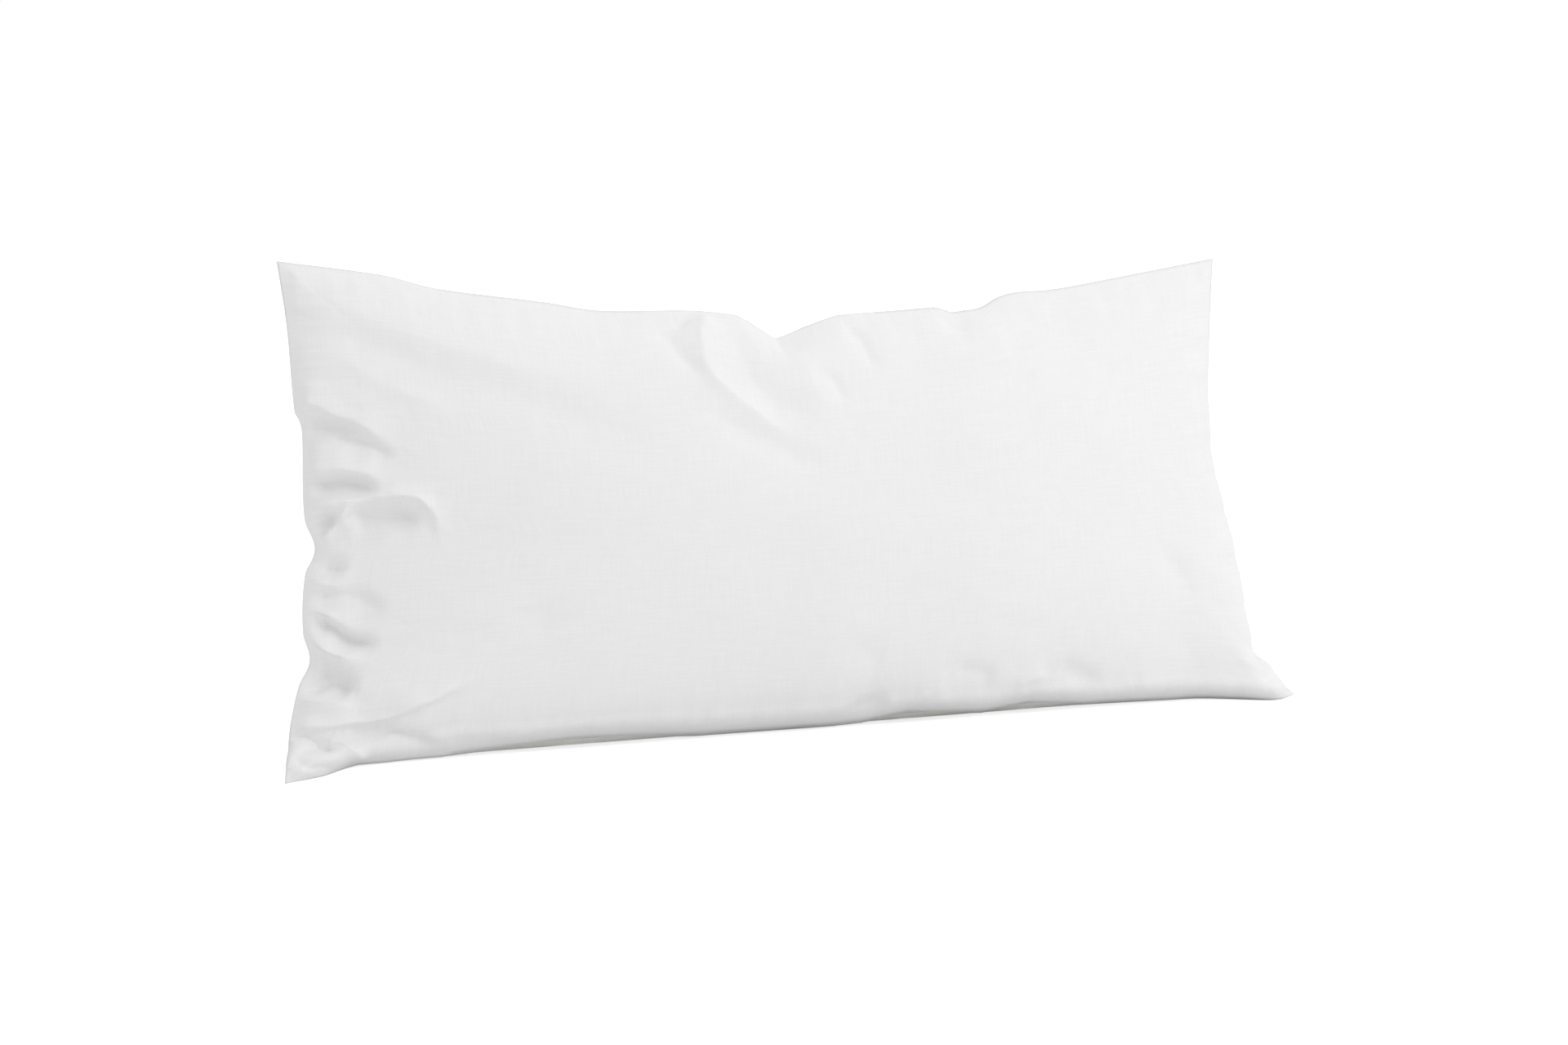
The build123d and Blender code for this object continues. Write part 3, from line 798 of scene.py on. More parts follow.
def refine_puckers(mesh, settings):
    """Cuts the front's faces finer where the small folds are: along the zip and under the dip."""
    bm = bmesh.new()
    bm.from_mesh(mesh)
    side, across = bm.verts.layers.float["side"], bm.verts.layers.float["across"]
    chosen = set()
    for face in bm.faces:
        middle = face.calc_center_median()
        by_zip = sum(v[across] for v in face.verts) / len(face.verts) * settings.cloth_length < PUCKERED
        by_dip = -0.115 < middle.x < 0.075 and middle.y > 0.2
        if (by_zip or by_dip) and sum(v[side] for v in face.verts) > 0:
            chosen.update(face.edges)
    bmesh.ops.subdivide_edges(bm, edges=list(chosen), cuts=1, use_grid_fill=True)
    bm.to_mesh(mesh)
    bm.free()


def shape_case(mesh, settings):
    """Presses the folds into the settled case, and keeps it clear of the floor and the zip."""
    mesh.transform(LAY_DOWN)
    refine_puckers(mesh, settings)
    places = read(mesh, "co", 3)
    across, up, side = read(mesh, "across"), read(mesh, "up"), read(mesh, "side")
    side = np.where(np.abs(side) < 0.02, 0, np.sign(side))
    mesh.update()
    normals = np.zeros(len(mesh.vertices) * 3, np.float32)
    mesh.vertices.foreach_get("normal", normals)
    normals = normals.reshape(-1, 3).astype(float)
    length, height = settings.cloth_length, settings.cloth_height
    from_left = across * length
    gaps = np.stack([from_left, (1 - across) * length, up * height, (1 - up) * height])
    from_seam = gaps.min(0)
    fade = smooth(from_seam / 0.012)
    front, back = side > 0, side < 0
    relief = np.zeros(len(places))
    relief[front] = fold_relief(places[front][:, :2], FRONT_FOLDS)
    relief[back] = fold_relief(places[back][:, :2], BACK_FOLDS)

    for i, (x, h, _) in enumerate(places):
        if side[i] == 0:
            continue
        # Small puckers that the stitching draws in along every seam
        if from_seam[i] <= PUCKER_REACH:
            nearest = int(np.argmin(gaps[:, i]))
            run = up[i] * height if nearest < 2 else from_left[i]
            wave = noise.noise(Vector((run * 62, side[i] * 3 + nearest * 7.3, from_seam[i] * 9)))
            wave += 0.5 * noise.noise(Vector((run * 130, side[i] * 5 + nearest * 3.1, from_seam[i] * 14)))
            depth = from_seam[i] / 0.014
            relief[i] += PUCKER_DEPTHS[nearest] * wave * depth * math.exp(1 - depth)
        # Broad slackness everywhere
        relief[i] += 0.0016 * noise.noise(Vector((x * 11 + h * 7, h * 15 - x * 5, side[i] * 4)))

    places += normals * (relief * fade)[:, None]

    # The top edge drops sharply where the filling has parted under it, less so on the back
    for x, depth, left, right in PINCHES:
        off = places[:, 0] - x
        stands = back * smooth(from_seam / 0.016)
        beside = np.clip(1 - np.where(off < 0, -off / left, off / (right * (1 - 0.45 * stands))), 0, 1)
        below_top = np.clip((1 - up) * height / 0.055, 0, 1)
        places[:, 1] -= depth * np.where(off < 0, beside**1.15, beside**1.4) * (1 - smooth(below_top))

    # The zip's hem stays flat, and nothing hangs over the zip
    hem_row = (up > HEM_ROWS[0] - NEAR) & (up < HEM_ROWS[1] + NEAR)
    hem = back & hem_row & (from_left > HEM_SHARE - NEAR) & (from_left < HEM_END)
    places[hem, 0] = past_hem(from_left[hem])
    places[hem, 2] = HEM_BACK
    edge = hem & (from_left < HEM_SHARE + NEAR)
    places[edge, 1] = hem_height(up[edge])
    # The cloth beyond each end of the zip comes up to the ends of the turned hems
    for row, end in ((HEM_ROWS[0], ZIP_LOW + 0.0006), (HEM_ROWS[1], ZIP_HIGH - 0.0006)):
        beyond = back & (np.abs(up - row) < NEAR) & (from_left < HEM_SHARE - NEAR)
        reached = smooth(from_left[beyond] / (0.3 * HEM_SHARE))
        places[beyond, 1] = places[beyond, 1] * (1 - reached) + end * reached
        places[beyond, 2] = places[beyond, 2] * (1 - reached) + (HEM_BACK + 0.0002) * reached
    # Past each end of the zip, the cloth lies low enough for the pull tab to swing over it
    off = np.abs(places[:, 0] - CHAIN_X)
    past_end = (places[:, 1] > ZIP_HIGH - 0.002) | (places[:, 1] < ZIP_LOW + 0.002)
    tip = PULL_TAB[0].y - SLIDE_DOWN
    share = smooth(1 - (off - 0.0052) / 0.009) * past_end * smooth((places[:, 1] - tip + 0.015) / 0.012)
    lowest = clear_of_tab(places[:, 1])
    pressed = back & (share > 0) & (places[:, 2] < lowest)
    places[pressed, 2] += ((lowest - places[:, 2]) * share)[pressed]
    over = back & hem_row & (from_left > HEM_END)
    places[over, 0] = np.maximum(places[over, 0], BACK_HEM_EDGE + 0.004)
    in_front = front & (places[:, 0] < BACK_HEM_EDGE + 0.01)
    places[in_front, 2] = np.maximum(places[in_front, 2], 0.0008 * smooth(from_seam[in_front] / 0.006))
    # The two panels never pass through each other
    inside = front & (from_seam > 0.006)
    between = seam_surface(across[inside], up[inside])[:, 2] * np.where(from_left[inside] < 0.045, 1.0, 0.5)
    places[inside, 2] = np.maximum(places[inside, 2], between + 0.001)

    # The front comes down steeply to the floor, and its foot is lifted off it here and there
    world = stood(places)
    spots = np.array(FOOT_LIFT)
    lift = np.interp(world[:, 0], spots[:, 0], spots[:, 1])
    low = (world[:, 2] < 0.06) & (up < 0.5)
    world[:, 2] -= 0.0016 * smooth(1 - world[:, 2] / 0.06) * low
    lean_out = smooth(1 - world[:, 2] / 0.030) * smooth(from_seam / 0.02) * (low & front)
    world[:, 1] -= 0.010 * lean_out
    lifted = smooth(1 - world[:, 2] / 0.045) * low * np.where(back, 1 - smooth(from_seam / 0.04), 1)
    world[:, 2] += lift * lifted
    world[:, 2] = np.maximum(world[:, 2], 0.0005)
    mesh.vertices.foreach_set("co", laid(world).ravel().astype(np.float32))
    mesh.update()
    return mesh


def case_panel(mesh, keep_front, settings):
    """One panel of the shaped case, with its cloth turned under where the zip is sewn in."""
    bm = bmesh.new()
    bm.from_mesh(mesh)
    side, across, up = (bm.verts.layers.float[n] for n in ("side", "across", "up"))
    length = settings.cloth_length
    cut = bm.loops.layers.uv["cut"]

    def wrong(face):
        """Whether a face is on the other panel, or where the zip is."""
        a, b, facing = (sum(v[layer] for v in face.verts) / len(face.verts) for layer in (across, up, side))
        in_window = a * length < HEM_SHARE and HEM_ROWS[0] < b < HEM_ROWS[1]
        return (facing > 0) != keep_front or (not keep_front and in_window)

    bmesh.ops.delete(bm, geom=[face for face in bm.faces if wrong(face)], context="FACES")

    if keep_front:
        sewn_at, within = 0, NEAR * length
        # Round the lip, back to the tape, over it, and turned under at the coil
        path = [
            (0.0, -0.0006),
            (0.0012, -0.0011),
            (None, TAPE_FRONT - 0.0004),
            (FRONT_TAPE[0].x - 0.0006, TAPE_FRONT - 0.0008),
            (FRONT_TAPE[0].x - 0.0003, HEM_BACK + 0.0003),
            (FRONT_TAPE[0].x + 0.0003, HEM_BACK),
            (FRONT_HEM_EDGE - 0.0012, HEM_BACK + 0.00005),
            (FRONT_HEM_EDGE - 0.0003, HEM_BACK + 0.0003),
            (FRONT_HEM_EDGE - 0.0001, HEM_BACK + 0.0008),
            (FRONT_HEM_EDGE - 0.0006, TAPE_BACK - 0.0002),
        ]
    else:
        sewn_at, within = HEM_SHARE, 0.002
        path = [
            (BACK_HEM_EDGE + 0.0001, HEM_BACK + 0.0004),
            (BACK_HEM_EDGE + 0.0001, HEM_BACK + 0.0009),
            (BACK_HEM_EDGE + 0.0006, TAPE_BACK - 0.0002),
        ]

    def sewn(v):
        in_rows = HEM_ROWS[0] - NEAR < v[up] < HEM_ROWS[1] + NEAR
        return in_rows and abs(v[across] * length - sewn_at) < within

    rim = [e for e in bm.edges if e.is_boundary and all(sewn(v) for v in e.verts)]
    if not rim:
        raise RuntimeError("the case has no edge where the zip is sewn in")
    run = 0.0
    low, high = ZIP_LOW + 0.0004, ZIP_HIGH - 0.0004
    for x, f in path:
        grown = bmesh.ops.extrude_edge_only(bm, edges=rim)["geom"]
        verts = [g for g in grown if isinstance(g, bmesh.types.BMVert)]
        edges = [g for g in grown if isinstance(g, bmesh.types.BMEdge)]
        rim = [e for e in edges if e.is_boundary and all(v in verts for v in e.verts)]
        run += TURN_STEP
        for v in verts:
            home = float(along(LEFT_SEAM, np.array([v[up]]))[0, 0])
            if keep_front and x is None:
                v.co.x = (home + FRONT_TAPE[0].x) / 2
            elif keep_front and abs(x) < 0.1:
                v.co.x = home + x
            else:
                v.co.x = x
                v.co.y = low + hem_share(v[up]) * (high - low)
            v.co.z = f
            # The hem is drawn in a little between its stitches
            if HEM_BACK - NEAR <= f <= HEM_BACK + NEAR:
                v.co.z += 0.00012 * (1 + math.cos(v.co.y / 0.004 * 2 * math.pi))
        for g in grown:
            if isinstance(g, bmesh.types.BMFace):
                for loop in g.loops:
                    turned = -run if loop.vert in verts else -run + TURN_STEP
                    loop[cut].uv = (turned, loop.vert[up] * settings.cloth_height)
    bmesh.ops.recalc_face_normals(bm, faces=bm.faces)
    outward = 1 if keep_front else -1
    furthest = max(bm.faces, key=lambda face: face.calc_center_median().z * outward)
    if furthest.normal.z * outward < 0:
        bmesh.ops.reverse_faces(bm, faces=bm.faces)
    return bm


class PILLOW_OT_case(bpy.types.Operator):
    """Make the case's front and back panels"""

    bl_idname = "pillow.case"
    bl_label = "Case Panels"

    def execute(self, context):
        settings = context.scene.pillow_case
        mesh = shape_case(settle_case(settings), settings)
        for name, keep_front, node in (
            ("case_front", True, "case_front_panel"),
            ("case_back", False, "case_back_panel"),
        ):
            bm = case_panel(mesh, keep_front, settings)
            made[name] = BVHTree.FromBMesh(bm)
            panel = piece(name, bm, [cotton(settings)], [node])
            thicken(panel, settings.cloth_thickness)
        bpy.data.meshes.remove(mesh)
        return {"FINISHED"}


class PILLOW_OT_case_seam(bpy.types.Operator):
    """Make the thread that sews the case's panels together"""

    bl_idname = "pillow.case_seam"
    bl_label = "Case Seam Thread"

    def execute(self, context):
        settings = context.scene.pillow_case
        length, height = settings.cloth_length, settings.cloth_height
        left, low = SEAM_INSET / length, SEAM_INSET / height
        right, high = 1 - left, 1 - low
        # From one end of the zip round the whole case to the other
        corners = [(left, HEM_ROWS[0] - 0.01), (left, low), (right, low), (right, high), (left, high)]
        corners.append((left, HEM_ROWS[1] + 0.01))
        points = []
        for (a, b), (c, d) in zip(corners, corners[1:]):
            count = max(2, int(math.hypot((c - a) * length, (d - b) * height) / SEAM_PITCH))
            points += [(a + (c - a) * i / count, b + (d - b) * i / count) for i in range(count)]
        shares = np.array(points + corners[-1:])
        places = seam_surface(shares[:, 0], shares[:, 1])
        places[:, 1] = np.maximum(places[:, 1], 0.0025)
        bm = bmesh.new()
        stitch_row(bm, places, 0.0027, 0.0005, 0.0005)
        piece("case_seam_stitches", bm, [sewing_thread(settings)], ["case_seam_thread"])
        return {"FINISHED"}


# ---------------------------------------------------------------- care label
LABEL_TURN = 0.82  # share of the label's height at which its top is turned under for sewing


class PILLOW_OT_label(bpy.types.Operator):
    """Make the blank care label"""

    bl_idname = "pillow.label"
    bl_label = "Care Label"

    def execute(self, context):
        settings = context.scene.pillow_case
        low, high = reach("care_label")
        bm = bmesh.new()
        bmesh.ops.create_grid(bm, x_segments=34, y_segments=24, size=0.5)
        width, height = high.x - low.x, high.y - low.y
        lay_out(bm, width, height)
        # The cloth that the label lies on, found from behind it
        hits = []
        for v in bm.verts:
            behind = Vector((low.x + (v.co.x + 0.5) * width, low.y + (v.co.y + 0.5) * height, -0.3))
            hits.append(made["case_back"].ray_cast(behind, Vector((0, 0, 1)))[0])
        cloth = np.array([(v.co.x, v.co.y, 1, hit.z) for v, hit in zip(bm.verts, hits) if hit])
        lean_x, lean_h, _ = np.linalg.lstsq(cloth[:, :3], cloth[:, 3], rcond=None)[0]
        lean_x, lean_h = np.clip((lean_x, lean_h), -0.5 * width, 0.5 * width)
        furthest_back = float((cloth[:, 3] - cloth[:, 0] * lean_x - cloth[:, 1] * lean_h).min())
        for v, hit in zip(bm.verts, hits):
            a, b = v.co.x + 0.5, v.co.y + 0.5
            flat = furthest_back + v.co.x * lean_x + v.co.y * lean_h
            sewn = float(smooth((b - 0.6) / 0.4))
            x, h = low.x + a * width, low.y + min(b, 2 * LABEL_TURN - b) * height
            behind = flat * (1 - sewn) + (hit.z if hit else flat) * sewn
            curl = 0.0012 * (1 - b) ** 2 + 0.0009 * math.sin(a * 5.0 + 1) * (1 - b)
            turned = 0.0005 if b > LABEL_TURN else 0
            v.co = Vector((x, h, behind - 0.0010 - curl + turned))
        for _ in range(6):
            bmesh.ops.smooth_vert(bm, verts=bm.verts[:], factor=0.5, use_axis_z=True)
        bmesh.ops.recalc_face_normals(bm, faces=bm.faces)
        if bm.faces[:][0].normal.z > 0:
            bmesh.ops.reverse_faces(bm, faces=bm.faces)
        colour = settings.label_colour
        material = finish("label_tape", colour, 0.93, 0.5, 4200, 0.3, 0.00004, 60, True, Sheen_Weight=0.3)
        label = piece("care_label_blank", bm, [material], ["care_label"])
        thicken(label, 0.0004, 1)
        return {"FINISHED"}


# ---------------------------------------------------------------- zip
def round_edges(bm, edges, offset, segments=2):
    bmesh.ops.bevel(
        bm,
        geom=edges,
        offset=offset,
        offset_type="OFFSET",
        segments=segments,
        profile=0.5,
        affect="EDGES",
        clamp_overlap=True,
        material=-1,
    )


def both_sides(half):
    """A line of x and y, and then the same line mirrored and run back."""
    return half + [(-x, y) for x, y in reversed(half)]


def bar(bm, low, high, bevel, segments=2):
    """Adds a block with rounded edges between two corners."""
    cube = bmesh.ops.create_cube(bm, size=1.0)["verts"]
    low, high = Vector(low), Vector(high)
    bmesh.ops.scale(bm, vec=high - low, verts=cube)
    bmesh.ops.translate(bm, vec=(low + high) / 2, verts=cube)
    round_edges(bm, list({e for v in cube for e in v.link_edges}), bevel, segments)


def plate(bm, outline, bottom, top, bevel, segments=2):
    """Adds a plate with rounded rims over an outline of x and y, between two heights."""
    verts = [bm.verts.new((x, y, bottom)) for x, y in outline]
    face = bm.faces.new(verts)
    grown = bmesh.ops.extrude_face_region(bm, geom=[face])["geom"]
    tops = [g for g in grown if isinstance(g, bmesh.types.BMVert)]
    bmesh.ops.translate(bm, vec=(0, 0, top - bottom), verts=tops)
    rims = {e for rim in (verts, tops) for v in rim for e in v.link_edges if all(w in rim for w in e.verts)}
    round_edges(bm, list(rims), bevel, segments)


class PILLOW_OT_zip_tapes(bpy.types.Operator):
    """Make the two woven zip tapes"""

    bl_idname = "pillow.zip_tapes"
    bl_label = "Zip Tapes"

    def execute(self, context):
        settings = context.scene.pillow_zip
        colour = settings.tape_colour
        material = finish("woven_tape", colour, 0.84, 0.75, 2600, 0.5, 0.0001, 120, Sheen_Weight=0.25)
        for name, node, box, inner in (
            ("zip_tape_front_woven", "zip_tape_front", FRONT_TAPE, 1),
            ("zip_tape_back_woven", "zip_tape_back", BACK_TAPE, -1),
        ):
            low, high = box
            middle, size = (low + high) / 2, high - low
            bm = bmesh.new()
            bmesh.ops.create_grid(bm, x_segments=14, y_segments=150, size=0.5)
            for v in bm.verts:
                share = v.co.x * inner + 0.5
                rib = 0.00006 * math.cos(share * 9 * math.pi)
                bead = 0.00008 * float(smooth((share - 0.9) / 0.1))
                f = high.z - 0.00014 + rib + bead
                v.co = Vector((middle.x + v.co.x * size.x, middle.y + v.co.y * size.y, f))
            bmesh.ops.solidify(bm, geom=bm.faces[:], thickness=0.00036)
            bmesh.ops.recalc_face_normals(bm, faces=bm.faces)
            piece(name, bm, [material], [node], flat_above=SHARP)
        return {"FINISHED"}


class PILLOW_OT_zip_coils(bpy.types.Operator):
    """Wind the two nylon coils"""

    bl_idname = "pillow.zip_coils"
    bl_label = "Zip Coils"

    def execute(self, context):
        settings = context.scene.pillow_zip
        material = finish("zip_nylon", settings.coil_colour, 0.9, 0.35, scale=300, bump=0.00002)
        radius = settings.wire_radius
        for name, node, box, inner in (
            ("zip_coil_front_wound", "zip_coil_front", FRONT_COIL, 1),
            ("zip_coil_back_wound", "zip_coil_back", BACK_COIL, -1),
        ):
            low, high = box
            # Heads reach into the gap as far as the slider's post allows
            wide = (high.x - low.x) / 2 + 0.00012
            deep = (high.z - low.z) / 2
            middle = Vector(((low.x + high.x) / 2 + inner * 0.00012, 0, (low.z + high.z) / 2))
            turns = int((high.y - low.y - 2 * radius) / settings.coil_pitch)
            pitch = (high.y - low.y - 2 * radius) / turns
            steps = 12
            one_turn = bmesh.new()
            ring = bmesh.ops.create_circle(one_turn, cap_ends=False, segments=6, radius=radius)["verts"]
            bmesh.ops.translate(one_turn, verts=ring, vec=(deep - radius, 0, 0))
            bmesh.ops.spin(
                one_turn,
                geom=ring + list({e for v in ring for e in v.link_edges}),
                cent=(0, 0, 0),
                axis=(0, 1, 0),
                dvec=(0, pitch / steps, 0),
                angle=2 * math.pi,
                steps=steps,
                use_merge=False,
                use_normal_flip=False,
                use_duplicate=False,
            )
            turn = mesh_of(one_turn, "turn")
            bm = bmesh.new()
            for i in range(turns):
                repeat(bm, turn, Matrix.Translation((0, i * pitch, 0)))
            bpy.data.meshes.remove(turn)
            bmesh.ops.remove_doubles(bm, verts=bm.verts[:], dist=radius * 0.01)
            # Each round turn is drawn out sideways, and its wire stays round
            middle.y = low.y + radius
            for v in bm.verts:
                angle = math.atan2(v.co.z, v.co.x)
                v.co.x += math.cos(angle) * (wide - deep)
                v.co += middle
            bmesh.ops.holes_fill(bm, edges=[e for e in bm.edges if e.is_boundary], sides=8)
            bmesh.ops.recalc_face_normals(bm, faces=bm.faces)
            piece(name, bm, [material], [node])
        return {"FINISHED"}


class PILLOW_OT_zip_stops(bpy.types.Operator):
    """Make the stops at both ends of the coils"""

    bl_idname = "pillow.zip_stops"
    bl_label = "Zip Stops"

    def execute(self, context):
        settings = context.scene.pillow_zip
        material = zip_metal(settings)
        low, high = reach("zip_top_stops")
        gap = BACK_COIL[0].x - FRONT_COIL[1].x
        half = (high.x - low.x - gap) / 2
        bm = bmesh.new()
        for left in (low.x, high.x - half):
            # A clamp: a back with two turned-in ribs
            bar(bm, (left, low.y, low.z), (left + half, high.y, high.z), 0.0003, 3)
            for share in (0.28, 0.72):
                y = low.y + (high.y - low.y) * share
                rib = (left + half - 0.0002, y + 0.00028, low.z + 0.0004)
                bar(bm, (left + 0.0002, y - 0.00028, low.z - 0.00012), rib, 0.0001)
        piece("zip_top_stop_clamps", bm, [material], ["zip_top_stops"], flat_above=SHARP)
        low, high = reach("zip_bottom_stop")
        bm = bmesh.new()
        bar(bm, low, high, 0.00035, 3)
        for share in (0.25, 0.5, 0.75):
            x = low.x + (high.x - low.x) * share
            rib = (x + 0.0003, high.y - 0.0003, low.z + 0.0004)
            bar(bm, (x - 0.0003, low.y + 0.0003, low.z - 0.00012), rib, 0.0001)
        piece("zip_bottom_stop_clamp", bm, [material], ["zip_bottom_stop"], flat_above=SHARP)
        return {"FINISHED"}


class PILLOW_OT_zip_stitches(bpy.types.Operator):
    """Sew the two tapes into the case"""

    bl_idname = "pillow.zip_stitches"
    bl_label = "Zip Stitches"

    def execute(self, context):
        settings = context.scene.pillow_case
        low, high = reach("zip_stitching")
        pitch, length = 0.004, 0.0032
        rows = int((high.y - low.y - length) / pitch + 1.5)
        bm = bmesh.new()
        for x in (low.x + 0.00025, high.x - 0.00025):
            for i in range(rows):
                y = low.y + length / 2 + i * pitch
                turn = Matrix.Rotation(math.radians(2 if i % 2 else -2), 4, "Z")
                size = Matrix.Diagonal((0.0005, length, 0.00042, 1))
                place = Matrix.Translation((x, y, (low.z + high.z) / 2 + 0.00003))
                repeat(bm, grain_of_thread(), place @ turn @ size @ Matrix.Rotation(math.pi / 2, 4, "X"))
        piece("zip_hem_stitches", bm, [sewing_thread(settings)], ["zip_stitching"])
        return {"FINISHED"}


class PILLOW_OT_zip_slider(bpy.types.Operator):
    """Make the zip's slider"""

    bl_idname = "pillow.zip_slider"
    bl_label = "Zip Slider"

    def execute(self, context):
        material = zip_metal(context.scene.pillow_zip)
        low, high = SLIDER
        middle_x, middle_h = (low.x + high.x) / 2, (low.y + high.y) / 2
        wide, tall = (high.x - low.x) / 2, (high.y - low.y) / 2
        # Shares of its half width and half height, up its right side to the notch at its top
        half = [(0.62, -1.0), (0.80, -0.92), (0.86, -0.70), (0.88, -0.2), (1.0, 0.25)]
        half += [(1.0, 0.72), (0.88, 0.92), (0.62, 1.0), (0.34, 0.96), (0.10, 0.78)]
        outline = [(middle_x + x * wide, middle_h + h * tall) for x, h in both_sides(half)]
        plate_thickness = 0.0009
        back_outer = BACK_COIL[0].z - 0.0003 - plate_thickness
        bm = bmesh.new()
        plate(bm, outline, back_outer, back_outer + plate_thickness, 0.0003, 3)
        plate(bm, outline, high.z - plate_thickness, high.z, 0.0003, 3)
        for side in (-1, 1):
            outer, inner = middle_x + side * wide * 0.97, middle_x + side * (wide - 0.0009)
            flange = (min(outer, inner), middle_h - tall * 0.15, back_outer + 0.0005)
            bar(bm, flange, (max(outer, inner), middle_h + tall * 0.78, TAPE_BACK - 0.0003), 0.0002)
        post_top = high.y - 0.001
        post = (middle_x - 0.00025, post_top - 0.0025, back_outer + 0.0004)
        bar(bm, post, (middle_x + 0.00025, post_top, high.z - 0.0004), 0.00012)
        # The arch that carries the pull tab
        arch = both_sides([(-0.0033, 0.0004), (-0.0033, -0.0022), (-0.0027, -0.0031), (-0.0017, -0.0035)])
        arch += both_sides([(0.0025, 0.0004), (0.0025, -0.0020), (0.0021, -0.0025), (0.0013, -0.0027)])
        bridge = bmesh.new()
        plate(bridge, arch, -0.0008, 0.0008, 0.00022, 3)
        bmesh.ops.recalc_face_normals(bridge, faces=bridge.faces)
        # The outline's own two directions become h and f, and its height becomes x
        turn = ((0, 0, 1, middle_x), (1, 0, 0, middle_h), (0, 1, 0, back_outer), (0, 0, 0, 1))
        bridge.transform(Matrix(turn))
        join(bm, bridge)
        bmesh.ops.recalc_face_normals(bm, faces=bm.faces)
        piece("zip_slider_body", bm, [material], ["zip_slider"], body="slider", flat_above=SHARP)
        return {"FINISHED"}


class PILLOW_OT_zip_pull(bpy.types.Operator):
    """Make the pull tab that hangs from the slider"""

    bl_idname = "pillow.zip_pull"
    bl_label = "Zip Pull Tab"

    def execute(self, context):
        material = zip_metal(context.scene.pillow_zip)
        pin = Vector(frame["joints"][1]["pos_m"])
        low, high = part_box("zip_pull_tab")
        length = pin.z - low.z
        end, neck, radius, thickness = (high.x - low.x) / 2, 0.0021, 0.00065, 0.0009

        def arc(x, y, r, first, last, count):
            angles = [first + (last - first) * i / count for i in range(count + 1)]
            return [(x + r * math.cos(angle), y + r * math.sin(angle)) for angle in angles]

        outer = [(-neck, 0), (-neck, -0.0052), (-0.0024, -0.0062)]
        outer += arc(0, -(length - end), end, math.pi, 2 * math.pi, 16)
        outer += [(0.0024, -0.0062), (neck, -0.0052), (neck, 0)]
        eye = arc(0, -0.0036, 0.00105, math.pi, 2 * math.pi, 8) + [(0.00115, -0.0009), (-0.00115, -0.0009)]
        hole = arc(0, -(length - end), 0.0011, 0, 2 * math.pi * 15 / 16, 15)
        bm = bmesh.new()
        edges = []
        for loop in (outer, eye, hole):
            verts = [bm.verts.new((x, y, -thickness / 2)) for x, y in loop]
            edges += [bm.edges.new((a, b)) for a, b in zip(verts, verts[1:] + verts[:1])]
        bmesh.ops.triangle_fill(bm, use_beauty=True, use_dissolve=True, edges=edges)
        grown = bmesh.ops.extrude_face_region(bm, geom=bm.faces[:])["geom"]
        tops = {g for g in grown if isinstance(g, bmesh.types.BMVert)}
        bmesh.ops.translate(bm, vec=(0, 0, thickness), verts=list(tops))
        bmesh.ops.recalc_face_normals(bm, faces=bm.faces)
        rims = [e for e in bm.edges if len(e.link_faces) == 2 and e.calc_face_angle(0) > 1.2]
        round_edges(bm, rims, 0.00018)
        rod = bmesh.ops.create_cone(
            bm, cap_ends=True, segments=20, radius1=radius, radius2=radius, depth=2 * neck
        )
        level = Matrix.Rotation(math.pi / 2, 3, "Y")
        bmesh.ops.rotate(bm, verts=rod["verts"], cent=(0, 0, 0), matrix=level)
        bmesh.ops.recalc_face_normals(bm, faces=bm.faces)
        # Hanging straight down from the pin
        bm.transform(Matrix.Translation(pin) @ Matrix.Rotation(math.pi / 2, 4, "X"))
        piece(
            "zip_pull_tab_plate",
            bm,
            [material],
            ["zip_pull_tab"],
            body="pull_tab",
            stand=False,
            flat_above=math.radians(40),
        )
        return {"FINISHED"}


# ---------------------------------------------------------------- inner pillow
def inner_depths(xs, hs, clearance, sign):
    """How far in front of (or behind) the seam plane a layer inside the case may reach at each place."""
    tree = made["case_front" if sign > 0 else "case_back"]
    depths = np.zeros(len(xs))
    for i, (x, h) in enumerate(zip(xs, hs)):
        hit = tree.ray_cast(Vector((x, h, 0.004 * sign)), Vector((0, 0, sign)))[0]
        depths[i] = max(0.0, abs(hit.z) - clearance) if hit else 0.0
    return depths


def inner_layer(columns, rows, clearance, ends, foot, border):
    """Front and back places of a layer inside the case, on one grid of columns and rows."""
    a, b = np.meshgrid(np.linspace(0, 1, columns + 1), np.linspace(0, 1, rows + 1), indexing="ij")
    a, b = a.ravel(), b.ravel()
    low, high = ends
    x = low + a * (high - low)
    shifts = (-0.03, -0.015, 0, 0.015, 0.03)
    near = [along(TOP_SEAM, np.clip((x + shift + 0.39) / 0.78, 0, 1))[:, 1] for shift in shifts]
    top = np.min(near, axis=0) - border
    pinch = 0.010 * (1 - (2 * b - 1) ** 2)
    x = np.where(a < 0.5, x + pinch * (1 - 2 * a), x - pinch * (2 * a - 1))
    h = foot + b * (top - foot)
    wide, tall = high - low, top - foot
    edge = np.minimum.reduce([a * wide, (1 - a) * wide, b * tall, (1 - b) * tall])
    round_edge = 0.9 * np.sqrt(np.clip(edge, 0, 1) * 0.075)
    layers = []
    for sign in (1, -1):
        depth = np.minimum(inner_depths(x, h, clearance, sign), round_edge)
        grid = depth.reshape(columns + 1, rows + 1)
        for _ in range(3):
            middle = grid.copy()
            middle[1:-1, 1:-1] = (grid[:-2, 1:-1] + grid[2:, 1:-1] + grid[1:-1, :-2] + grid[1:-1, 2:]) / 4
            grid = np.minimum(grid, middle)
        layers.append(np.stack([x, h, sign * grid.ravel()], -1))
    return layers


